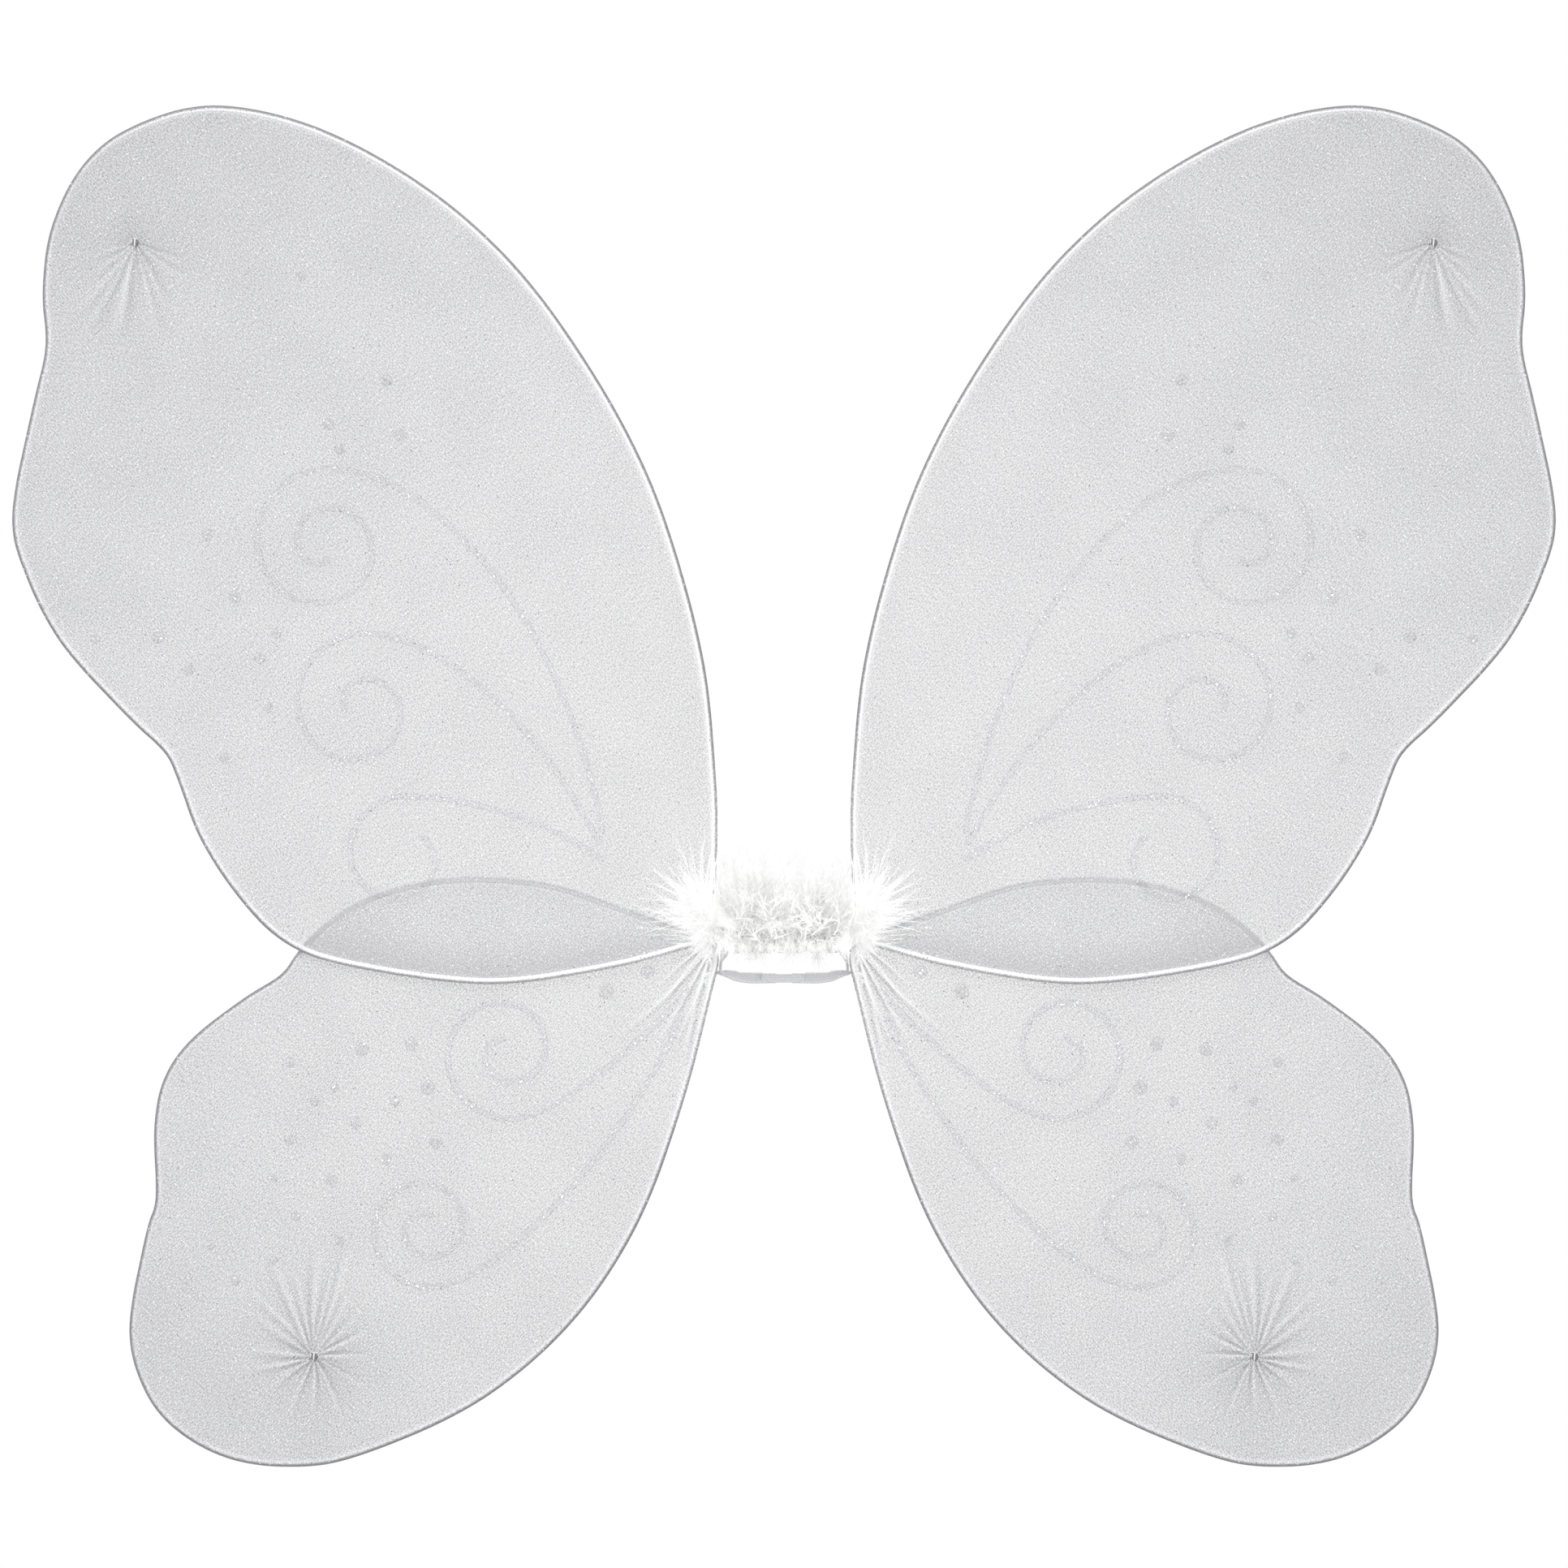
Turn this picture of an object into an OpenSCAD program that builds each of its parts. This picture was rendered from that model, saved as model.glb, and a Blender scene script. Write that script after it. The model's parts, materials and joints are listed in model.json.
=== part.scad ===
// Costume fairy wings: four wire loops in sheer nylon sleeves, joined at a feathered middle.
// X runs along the span, Z is up, and the wearer stands at +Y with the pad against the back.
// The origin is the middle of the pad's rear face.

/* [Wings] */
// Width over both upper wings, tip to tip
span = 561; // [460:1:700]
// Height of the upper wings above the middle of the pad
upper_rise = 298; // [240:1:370]
// Depth of the lower wings below the middle of the pad
lower_drop = 197; // [160:1:245]
// Free gap between the upper and the lower wings, front to back
wing_gap = 1; // [0.8:0.1:3]

/* [Wire and sleeve] */
// Diameter of the coated wire
wire_d = 2; // [1.6:0.1:2.6]
// Thickness of one layer of the nylon sleeve
nylon_t = 0.2; // [0.15:0.05:0.3]
// Slack between the wire and the sleeve round it
nylon_gap = 0.1; // [0.05:0.05:0.2]

/* [Gather ties] */
// Diameter of the thread ring round the gathered nylon
tie_d = 3.8; // [3:0.1:6]
// Height of the thread ring
tie_h = 0.8; // [0.5:0.1:1.5]
// Diameter of the nylon nub that stands through the ring
nub_d = 2.4; // [1.6:0.1:2.8]
// Height of the nylon nub
nub_h = 1.8; // [1:0.1:3]

/* [Glitter glue] */
// Width of a drawn line of glue
line_w = 2.4; // [1.6:0.1:3.2]
// Height of the glue above the nylon
glue_t = 0.35; // [0.2:0.05:0.5]

/* [Middle] */
// Distance between the two fold lines
fold_span = 49; // [42:1:64]
// Diameter of the thread binding at a root
binding_d = 6; // [4:0.5:8]
// Height of the thread binding
binding_h = 8; // [6:0.5:10]
// Diameter of a wire tail in the middle
tail_d = 2; // [1.6:0.1:2.6]
// Clearance between one wire tail and the next
tail_gap = 0.4; // [0.2:0.1:1]
// Thickness of the cloth tape round the tails
tape_t = 1.2; // [0.6:0.1:2]

/* [Back pad] */
// Width of the felt pad
pad_w = 36; // [26:1:38]
// Height of the felt pad
pad_h = 18; // [14:1:24]
// Thickness of the felt
pad_t = 2.5; // [2:0.5:5]

/* [Marabou] */
// Height of the feather trim
boa_d = 35; // [28:1:44]
// Diameter of a feather tuft over a root
tuft_d = 17; // [12:0.5:20]

/* [Elastic] */
// Width of the elastic
elastic_w = 5.5; // [4:0.5:8]
// Thickness of the elastic
elastic_t = 1.2; // [0.8:0.1:1.6]
// Reach of an arm loop behind the pad
loop_reach = 128; // [90:1:180]
// Length of the middle piece of the elastic band
bridge_len = 16; // [12:1:20]
// Depth of the elastic band's middle below the pad's centre
bridge_drop = 19; // [17:0.5:28]

/* [Hidden] */
$fn = 48;

// Running clearance between pieces that move past each other
clearance = 0.3;
// Height of the roots, where the wires of one side meet, from the pad's centre
root_z = -4;
fold_x = fold_span / 2;

// Front to back: the tape wrap touches the pad, and the wings lie within its depth
tail_pitch = tail_d + tail_gap;
tail_rows = 2;
tail_columns = 4;
wrap_h = tail_columns * tail_pitch + tail_gap + 2 * tape_t;
wrap_t = tail_rows * tail_pitch + tail_gap + 2 * tape_t;
wrap_y = -pad_t - wrap_t / 2;
sleeve_t = wire_d + 2 * (nylon_gap + nylon_t);
lower_y = -pad_t - 2 * clearance - sleeve_t / 2;
upper_y = lower_y - sleeve_t - wing_gap;
// The fold line lies in the plane of the upper wings
fold_y = upper_y;
wrap_len = fold_span - binding_d - 2 * clearance;

// Outlines of the sleeves' outer edge. u runs outwards from the fold line, v up from the root.
UPPER_EDGE = [
    [4.5, 2], [3, 9], [0.5, 18], [-0.3, 38], [0.3, 58], [3.8, 95], [12.5, 132], [25.5, 169],
    [45.5, 206], [72.5, 243], [105, 272], [145, 294], [183, 302], [213, 294], [231, 279.5],
    [242, 257], [245, 234], [244, 214], [249, 191], [256, 154], [251.5, 132], [238, 106],
    [214.5, 80], [201, 67], [196, 57], [188, 36], [174.5, 15], [157.5, -2], [133.5, -11],
    [83.5, -17.5], [40, -12], [12.5, -5], [4.5, -2.2]
];
LOWER_EDGE = [
    [4.5, 0.7], [15.5, 4], [36.5, 11.5], [59.5, 19], [83.5, 21.7], [107, 20], [127.5, 14],
    [143.5, 4], [152.5, -6], [158.5, -14], [172.5, -23], [191, -37.5], [201, -52], [204.5, -70],
    [204, -95], [207.5, -108], [213.5, -141], [209.5, -162], [198.5, -178], [179, -189.5],
    [155.5, -193], [130, -189], [87.5, -170], [53, -141], [28.3, -104], [12, -60], [2.3, -23],
    [0.3, -15], [3.5, -4.6]
];
// The outlines' own reach, which the driving dimensions stretch
EDGE_U = 256;
UPPER_EDGE_V = 302;
LOWER_EDGE_V = 193;
stretch_u = (span / 2 - fold_x) / EDGE_U;
upper_stretch = [stretch_u, (upper_rise - root_z) / UPPER_EDGE_V];
lower_stretch = [stretch_u, (lower_drop + root_z) / LOWER_EDGE_V];
// Points of the spline between one outline point and the next
EDGE_STEPS = 3;
WIRE_SIDES = 8;
WIRE_COLOUR = "whitesmoke";
NYLON_COLOUR = "gainsboro";
GLITTER_COLOUR = "silver";
ELASTIC_COLOUR = "lightgray";

UPPER_TIE = [211.5, 252];
LOWER_TIE = [146.5, -153];

// Swirls: centre, inner and outer radius, first and last angle, then the tail's three points
UPPER_SWIRLS = [
    [[142.5, 142], 5, 28, -120, 450, [108, 172], [58, 124], [41, 37]],
    [[129.5, 83], 5, 27, -20, 450, [105, 111], [70, 86], [42, 33]],
    [[114.5, 29], 10, 22, 130, 450, [95, 51], [62, 44], [41, 27]]
];
LOWER_SWIRLS = [
    [[76.5, -42], 4, 24.5, 90, -450, [56, -66.5], [26, -36], [9, -19]],
    [[105.5, -106], 4, 21.5, 120, -440, [84, -133], [36, -80], [12, -29]]
];
SWIRL_STEP = 20;
TAIL_STEPS = 9;

// Glue dots: u, v and radius
UPPER_DOTS = [
    [151, 240, 2], [120, 202, 2.2], [115, 182, 2.4], [141, 186, 2], [137, 177, 2], [185, 146, 2.2],
    [203, 109, 2.4], [192, 97, 2.2], [175, 123, 2.4], [160, 110, 2.2], [166, 101, 2], [179, 65, 2],
    [226, 108, 1.8], [163, 83, 2]
];
LOWER_DOTS = [
    [111, -39, 2.8], [129, -41, 2.4], [155, -46, 2], [139, -55, 1.8], [146, -60, 1.8],
    [105, -55, 2.6], [117, -60, 2.2], [131, -68, 2.4], [155, -74, 2.3], [102, -75, 2.2],
    [120, -81, 2.2], [140, -89, 2], [161, -88, 1.6], [153, -102, 1.8], [137, -111, 1.8],
    [184, -113, 1.4], [161, -118, 1.6], [175, -125, 1.8], [40, -20, 2.8], [25, -13, 2.6]
];

// Elastic: the arm loop leaves the band at its outer end and comes back at the middle piece
// How far the band's sides rise from its middle to its ends
bridge_rise = 3.4;
// The tabs start level with the pad's front face, and the band lies against their backs
tab_back_y = -pad_t + elastic_t;
bridge_y = tab_back_y + elastic_t / 2;
// How much narrower the band's middle piece is than its sides
bridge_narrower = 1.2;
// Gap between the middle piece's end and a side piece, which a bartack crosses
side_gap = 0.6;
bridge_end_z = -bridge_drop + bridge_rise;
loop_z = -bridge_drop + bridge_rise / 2;
loop_inner_x = bridge_len / 2;
loop_outer_x = fold_x - elastic_t / 2 - clearance;
side_run = loop_outer_x - loop_inner_x;
side_tilt = atan2(bridge_rise, side_run);
loop_y = bridge_y + elastic_t / 2 + clearance + elastic_w / 2;
loop_turn_r = side_run / 2;
LOOP_TURN_STEPS = 12;
// The runs of a loop start with a round end, then go straight back
ROUND_END_ANGLES = [80, 60, 30];
LOOP_RUN_STEPS = 6;
LOOP_RUN = concat([for (a = ROUND_END_ANGLES) -sin(a) * elastic_w / 2],
    [for (t = [0:LOOP_RUN_STEPS - 1]) t / LOOP_RUN_STEPS * (loop_reach - loop_turn_r - loop_y)]);
// Width of a tab that holds the band's end
tab_w = 4;
// How far a tab stops above the lower edge of the band's end
tab_short = 1;
// Width and thickness of a bartack
bar_w = 2;
bar_t = 0.4;
// Elastic left free above and below a bartack
bar_margin = 1;
pad_corner_r = 3;
// Free length at each end of the feather trim
boa_end_gap = 1;
// How far a tuft reaches in past the fold line, and how high its lower half sits above the root
tuft_inset = 2;
tuft_rise = 2;
// Free gap between a tuft and the upper wing behind it
tuft_gap = 1.2;
// Extra length of a bore's cutter
overcut = 1;
// How far the feathers hang below the roots
boa_hang = 8;

function lerp(a, b, t) = a + (b - a) * t;
function clamp_index(i, n) = min(max(i, 0), n - 1);
function catmull(a, b, c, d, t) =
    0.5 * (2 * b + (c - a) * t + (2 * a - 5 * b + 4 * c - d) * t * t
    + (3 * b - a - 3 * c + d) * t * t * t);
function spline(points) = let (n = len(points)) concat(
    [for (i = [0:n - 2]) for (k = [0:EDGE_STEPS - 1])
        catmull(points[clamp_index(i - 1, n)], points[i], points[i + 1],
            points[clamp_index(i + 2, n)], k / EDGE_STEPS)],
    [points[n - 1]]);
function bezier(a, b, c, d, t) =
    pow(1 - t, 3) * a + 3 * t * pow(1 - t, 2) * b + 3 * t * t * (1 - t) * c + pow(t, 3) * d;
function unit(v) = v / norm(v);
function heading(points, i) = let (n = len(points))
    unit(points[clamp_index(i + 1, n)] - points[clamp_index(i - 1, n)]);
// Right-hand side of each point, which is outwards on a left wing's edge
function side_of(h) = [h[1], -h[0]];
function shifted(points, d) =
    [for (i = [0:len(points) - 1]) points[i] + d * side_of(heading(points, i))];
function reversed(points) = [for (i = [len(points) - 1:-1:0]) points[i]];

// From u and v to the x and z of a left wing
function placed(p, stretch) = [-fold_x - p[0] * stretch[0], root_z + p[1] * stretch[1]];
function edge(points, stretch) = spline([for (p = points) placed(p, stretch)]);

// A swirl's middle line in u and v, from the curled end to the tail
function swirl_line(s) = concat(
    [for (i = [0:ceil(abs(s[4] - s[3]) / SWIRL_STEP) - 1])
        let (t = i / ceil(abs(s[4] - s[3]) / SWIRL_STEP), a = lerp(s[3], s[4], t))
        s[0] + lerp(s[1], s[2], t) * [cos(a), sin(a)]],
    [for (i = [0:TAIL_STEPS])
        bezier(s[0] + s[2] * [cos(s[4]), sin(s[4])], s[5], s[6], s[7], i / TAIL_STEPS)]);

// An arm loop's middle line: out behind the pad, round the turn and back
function loop_half(y) = y < loop_y ? sqrt(pow(elastic_w / 2, 2) - pow(loop_y - y, 2)) : elastic_w / 2;
loop_line = concat(
    [for (y = LOOP_RUN) [loop_outer_x, loop_y + y]],
    [for (i = [0:LOOP_TURN_STEPS])
        let (a = 180 * i / LOOP_TURN_STEPS)
        [loop_inner_x + loop_turn_r + loop_turn_r * cos(a),
            loop_reach - loop_turn_r + loop_turn_r * sin(a)]],
    [for (y = reversed(LOOP_RUN)) [loop_inner_x, loop_y + y]]);

// A flat plate in the plane of the wings, from its rear face forwards
module upright(rear_y, thickness) {
    translate([0, rear_y, 0]) rotate([90, 0, 0]) linear_extrude(thickness) children();
}

// Joins rings of equal point count into one closed skin
module skin(rings) {
    n = len(rings);
    m = len(rings[0]);
    polyhedron(
        points = [for (ring = rings) each ring],
        faces = concat(
            [[for (k = [0:m - 1]) k]],
            [for (i = [0:n - 2]) for (k = [0:m - 1])
                let (a = i * m + k, b = i * m + (k + 1) % m) [a, a + m, b]],
            [for (i = [0:n - 2]) for (k = [0:m - 1])
                let (a = i * m + k, b = i * m + (k + 1) % m) [b, a + m, b + m]],
            [[for (k = [m - 1:-1:0]) (n - 1) * m + k]]));
}

module wing_wire(points, stretch, mid_y) {
    path = shifted(edge(points, stretch), -sleeve_t / 2);
    color(WIRE_COLOUR) skin([for (i = [0:len(path) - 1])
        let (out = side_of(heading(path, i)))
        [for (k = [0:WIRE_SIDES - 1])
            let (a = 360 * k / WIRE_SIDES, r = wire_d / 2)
            [path[i][0] + r * cos(a) * out[0], mid_y + r * sin(a), path[i][1] + r * cos(a) * out[1]]]]);
}

// Both layers of nylon, closed round the edge and open at the root
module wing_sleeve(points, stretch, mid_y) {
    outer = edge(points, stretch);
    inner = shifted(outer, -nylon_t);
    last = len(inner) - 1;
    mouth = [for (i = [last, 0]) inner[i] + [sleeve_t, 0]];
    color(NYLON_COLOUR, 0.6) difference() {
        upright(mid_y + sleeve_t / 2, sleeve_t) polygon(outer);
        upright(mid_y + sleeve_t / 2 - nylon_t, sleeve_t - 2 * nylon_t) polygon(concat(inner, mouth));
    }
}

module wing_tie(at, stretch, mid_y) {
    p = placed(at, stretch);
    color(NYLON_COLOUR) translate([p[0], mid_y - sleeve_t / 2, p[1]]) rotate([90, 0, 0]) {
        cylinder(d = tie_d, h = tie_h);
        cylinder(d = nub_d, h = nub_h);
    }
}

module wing_swirls(swirls, stretch, mid_y) {
    color(GLITTER_COLOUR) upright(mid_y - sleeve_t / 2, glue_t)
        for (s = swirls) {
            line = [for (p = swirl_line(s)) placed(p, stretch)];
            polygon(concat(shifted(line, line_w / 2), reversed(shifted(line, -line_w / 2))));
        }
}

module wing_dots(dots, stretch, mid_y) {
    color(GLITTER_COLOUR) upright(mid_y - sleeve_t / 2, glue_t)
        for (d = dots) translate(placed(d, stretch)) circle(r = d[2]);
}

module upper_wire() wing_wire(UPPER_EDGE, upper_stretch, upper_y);
module upper_sleeve() wing_sleeve(UPPER_EDGE, upper_stretch, upper_y);
module upper_tie() wing_tie(UPPER_TIE, upper_stretch, upper_y);
module upper_swirls() wing_swirls(UPPER_SWIRLS, upper_stretch, upper_y);
module upper_dots() wing_dots(UPPER_DOTS, upper_stretch, upper_y);
module lower_wire() wing_wire(LOWER_EDGE, lower_stretch, lower_y);
module lower_sleeve() wing_sleeve(LOWER_EDGE, lower_stretch, lower_y);
module lower_tie() wing_tie(LOWER_TIE, lower_stretch, lower_y);
module lower_swirls() wing_swirls(LOWER_SWIRLS, lower_stretch, lower_y);
module lower_dots() wing_dots(LOWER_DOTS, lower_stretch, lower_y);

// Thread wound round the wire legs, on the fold line
module root_binding() {
    color("white") translate([-fold_x, fold_y, root_z - binding_h / 2])
        cylinder(d = binding_d, h = binding_h);
}

// Feathers that lie over a root, in front of the wings
module root_tuft() {
    tuft_y = upper_y - sleeve_t / 2 - tuft_gap - tuft_d / 2;
    color("white") for (dz = [0, tuft_d / 2])
        translate([-fold_x - tuft_d / 2 + tuft_inset, tuft_y, root_z + dz + tuft_rise]) sphere(d = tuft_d);
}

// The eight wire ends, side by side under the tape
module wire_tails() {
    tail_len = wrap_len - 2 * tape_t;
    color(WIRE_COLOUR) for (row = [0:tail_rows - 1]) for (column = [0:tail_columns - 1])
        translate([-tail_len / 2, wrap_y + (row - (tail_rows - 1) / 2) * tail_pitch,
            root_z + (column - (tail_columns - 1) / 2) * tail_pitch])
            rotate([0, 90, 0]) cylinder(d = tail_d, h = tail_len);
}

module rounded_slab(w, h, r) {
    square([w - 2 * r, h], center = true);
    square([w, h - 2 * r], center = true);
    for (x = [-1, 1]) for (y = [-1, 1]) translate([x * (w / 2 - r), y * (h / 2 - r)]) circle(r);
}

module tape_wrap() {
    bore_t = wrap_t - 2 * tape_t;
    bore_h = wrap_h - 2 * tape_t;
    color("white") translate([0, wrap_y, root_z]) rotate([0, 90, 0]) difference() {
        linear_extrude(wrap_len, center = true) rounded_slab(wrap_h, wrap_t, tape_t);
        linear_extrude(wrap_len + overcut, center = true) square([bore_h, bore_t], center = true);
    }
}

module back_pad() {
    color("ghostwhite") upright(0, pad_t) rounded_slab(pad_w, pad_h, pad_corner_r);
}

// Feather trim in front of the tape wrap
module marabou_boa() {
    boa_len = fold_span - 2 * (sleeve_t + clearance + boa_end_gap);
    rear_y = wrap_y - wrap_t / 2;
    color("white") translate([0, rear_y, root_z - boa_hang + boa_d / 2]) rotate([0, 90, 0]) intersection() {
        cylinder(d = boa_d, h = boa_len, center = true);
        translate([-boa_d, -boa_d, -boa_len]) cube([2 * boa_d, boa_d, 2 * boa_len]);
    }
}

// The elastic band under the feathers: a middle piece, and a side piece on each side of it
module strap_bridge() {
    color(ELASTIC_COLOUR) {
        translate([0, bridge_y, -bridge_drop])
            cube([bridge_len, elastic_t, elastic_w - bridge_narrower], center = true);
        for (side = [0, 1]) mirror([side, 0, 0])
            translate([-loop_inner_x, bridge_y, -bridge_drop]) rotate([0, side_tilt, 0])
                translate([-side_run / cos(side_tilt), -elastic_t / 2, -elastic_w / 2])
                    cube([side_run / cos(side_tilt) - side_gap, elastic_t, elastic_w]);
    }
}

module strap_tabs() {
    low_z = bridge_end_z - elastic_w / 2 + tab_short;
    color(ELASTIC_COLOUR) for (side = [0, 1]) mirror([side, 0, 0])
        translate([-loop_outer_x, -pad_t, low_z]) cube([tab_w, elastic_t, root_z - low_z]);
}

// Thread bars that sew the pieces of elastic together
module bartacks() {
    bar_h = elastic_w - 2 * bar_margin;
    color("white") for (side = [0, 1]) mirror([side, 0, 0])
        translate([-loop_inner_x - bar_w / 2, bridge_y - elastic_t / 2 - bar_t, -bridge_drop - bar_h / 2])
            cube([bar_w, bar_t, bar_h]);
}

module arm_loop() {
    n = len(loop_line);
    color(ELASTIC_COLOUR) mirror([1, 0, 0]) skin([for (i = [0:n - 1])
        let (out = side_of(heading(loop_line, i)) * elastic_t / 2, p = loop_line[i])
        [for (c = [[-1, -1], [1, -1], [1, 1], [-1, 1]])
            [p[0] + c[0] * out[0], p[1] + c[0] * out[1], loop_z + c[1] * loop_half(p[1])]]]);
}

module on_right() mirror([1, 0, 0]) children();

wire_tails();
tape_wrap();
back_pad();
marabou_boa();
strap_bridge();
strap_tabs();
bartacks();
root_binding();  // left_root_binding
on_right() root_binding();  // right_root_binding
root_tuft();  // left_root_tuft
on_right() root_tuft();  // right_root_tuft
arm_loop();  // left_strap
on_right() arm_loop();  // right_strap
upper_wire();  // left_upper_wire
upper_sleeve();  // left_upper_sleeve
upper_tie();  // left_upper_tie
upper_swirls();  // left_upper_swirls
upper_dots();  // left_upper_dots
on_right() upper_wire();  // right_upper_wire
on_right() upper_sleeve();  // right_upper_sleeve
on_right() upper_tie();  // right_upper_tie
on_right() upper_swirls();  // right_upper_swirls
on_right() upper_dots();  // right_upper_dots
lower_wire();  // left_lower_wire
lower_sleeve();  // left_lower_sleeve
lower_tie();  // left_lower_tie
lower_swirls();  // left_lower_swirls
lower_dots();  // left_lower_dots
on_right() lower_wire();  // right_lower_wire
on_right() lower_sleeve();  // right_lower_sleeve
on_right() lower_tie();  // right_lower_tie
on_right() lower_swirls();  // right_lower_swirls
on_right() lower_dots();  // right_lower_dots
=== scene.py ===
import json
import math

import bmesh
import bpy
import numpy as np
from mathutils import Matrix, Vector, geometry, kdtree, noise


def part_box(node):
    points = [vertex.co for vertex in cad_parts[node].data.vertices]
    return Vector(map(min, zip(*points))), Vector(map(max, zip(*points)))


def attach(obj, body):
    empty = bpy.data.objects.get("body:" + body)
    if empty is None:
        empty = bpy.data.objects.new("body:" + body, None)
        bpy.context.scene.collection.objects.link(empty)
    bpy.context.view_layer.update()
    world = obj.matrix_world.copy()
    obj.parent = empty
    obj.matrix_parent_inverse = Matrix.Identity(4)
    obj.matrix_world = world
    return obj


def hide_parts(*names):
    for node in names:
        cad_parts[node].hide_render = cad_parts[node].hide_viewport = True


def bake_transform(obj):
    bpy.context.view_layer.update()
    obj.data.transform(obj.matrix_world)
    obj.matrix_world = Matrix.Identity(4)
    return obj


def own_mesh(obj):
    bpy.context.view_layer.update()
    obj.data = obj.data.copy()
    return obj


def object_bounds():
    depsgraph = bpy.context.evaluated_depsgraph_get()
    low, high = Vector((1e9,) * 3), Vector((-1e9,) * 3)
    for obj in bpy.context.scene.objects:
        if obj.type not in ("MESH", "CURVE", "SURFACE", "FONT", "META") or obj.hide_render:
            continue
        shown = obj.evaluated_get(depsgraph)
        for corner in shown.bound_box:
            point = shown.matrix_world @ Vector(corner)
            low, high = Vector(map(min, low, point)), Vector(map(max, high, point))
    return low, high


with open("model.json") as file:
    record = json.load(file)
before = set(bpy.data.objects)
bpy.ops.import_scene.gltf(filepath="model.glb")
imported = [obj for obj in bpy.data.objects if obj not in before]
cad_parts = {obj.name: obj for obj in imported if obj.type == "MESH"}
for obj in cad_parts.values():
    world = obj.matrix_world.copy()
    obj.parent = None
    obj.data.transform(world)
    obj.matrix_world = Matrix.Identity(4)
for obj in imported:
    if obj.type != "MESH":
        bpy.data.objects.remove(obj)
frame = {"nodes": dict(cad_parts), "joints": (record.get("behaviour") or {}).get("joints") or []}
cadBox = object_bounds()
mm = 0.001
joints = {j["name"]: j for j in frame["joints"]}
sideNames = ("left", "right")
wingNames = [(side, level) for side in sideNames for level in ("upper", "lower")]
print("frame loaded:", len(frame["nodes"]), "nodes")


# general tools

def srgb(code):
    parts = [int(code[i:i + 2], 16) / 255 for i in (1, 3, 5)]
    return tuple(c / 12.92 if c <= 0.04045 else ((c + 0.055) / 1.055) ** 2.4 for c in parts) + (1.0,)


def clearSelection():
    bpy.ops.object.select_all(action="DESELECT")


def takeUp(obj):
    clearSelection()
    bpy.context.view_layer.objects.active = obj
    obj.select_set(True)


def addNode(tree, kind, settings=None, inputs=None):
    # inputs go by name or number: a colour mix has its two colours at 6 and 7 and gives output 2
    node = tree.nodes.new(kind)
    for name, value in (settings or {}).items():
        setattr(node, name, value)
    for name, value in (inputs or {}).items():
        if isinstance(value, bpy.types.NodeSocket):
            tree.links.new(value, node.inputs[name])
        else:
            node.inputs[name].default_value = value
    return node


def newMaterial(name):
    material = bpy.data.materials.new(name)
    material.use_nodes = True
    material.node_tree.nodes.clear()
    return material, material.node_tree


def makeMesh(name, points, faces, material):
    mesh = bpy.data.meshes.new(name)
    mesh.from_pydata([tuple(p) for p in points], [], [tuple(int(i) for i in f) for f in faces])
    mesh.materials.append(material)
    mesh.shade_smooth()
    mesh.update()
    obj = bpy.data.objects.new(name, mesh)
    bpy.context.scene.collection.objects.link(obj)
    return obj


def setAttribute(obj, name, values):
    attribute = obj.data.attributes.new(name, "FLOAT", "POINT")
    attribute.data.foreach_set("value", np.asarray(values, np.float32))


def softShade(obj, sharpAngle=None):
    takeUp(obj)
    if sharpAngle:
        bpy.ops.object.shade_smooth_by_angle(angle=sharpAngle)
    else:
        bpy.ops.object.shade_smooth()


def roundEdges(obj, isChosen, offset, segments):
    # bevels the edges whose two ends pass the test
    takeUp(obj)
    bpy.ops.object.mode_set(mode="EDIT")
    bpy.ops.mesh.select_all(action="DESELECT")
    bpy.ops.object.mode_set(mode="OBJECT")
    for e in obj.data.edges:
        e.select = isChosen(*(obj.data.vertices[i].co for i in e.vertices))
    bpy.ops.object.mode_set(mode="EDIT")
    bpy.ops.mesh.bevel(offset=offset, segments=segments)
    bpy.ops.object.mode_set(mode="OBJECT")


def tubeFaces(rows, around, start=0):
    # the faces of a tube whose points go round it row by row, with both ends closed
    faces = [(start + i * around + k, start + i * around + (k + 1) % around,
              start + (i + 1) * around + (k + 1) % around, start + (i + 1) * around + k)
             for i in range(rows - 1) for k in range(around)]
    faces.append(tuple(start + k for k in range(around)))
    faces.append(tuple(start + (rows - 1) * around + k for k in reversed(range(around))))
    return faces


def unit(rows):
    return rows / np.linalg.norm(rows, axis=1)[:, None]


def eased(x):
    x = np.clip(x, 0, 1)
    return x * x * (3 - 2 * x)


def place(obj, body, slotName, *nodes):
    if nodes:
        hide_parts(*nodes)
    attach(obj, body)


def applyPlace(obj):
    takeUp(obj)
    bpy.ops.object.transform_apply(location=True, rotation=True, scale=True)


def joinAll(parts, name, material):
    clearSelection()
    for part in parts:
        part.select_set(True)
    bpy.context.view_layer.objects.active = parts[0]
    if len(parts) > 1:
        bpy.ops.object.join()
    whole = bpy.context.view_layer.objects.active
    whole.name = whole.data.name = name
    whole.data.materials.clear()
    whole.data.materials.append(material)
    applyPlace(whole)
    return whole


# materials

bandLength = 0.314  # the bands of a wave texture lie this far apart at scale 1


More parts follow.
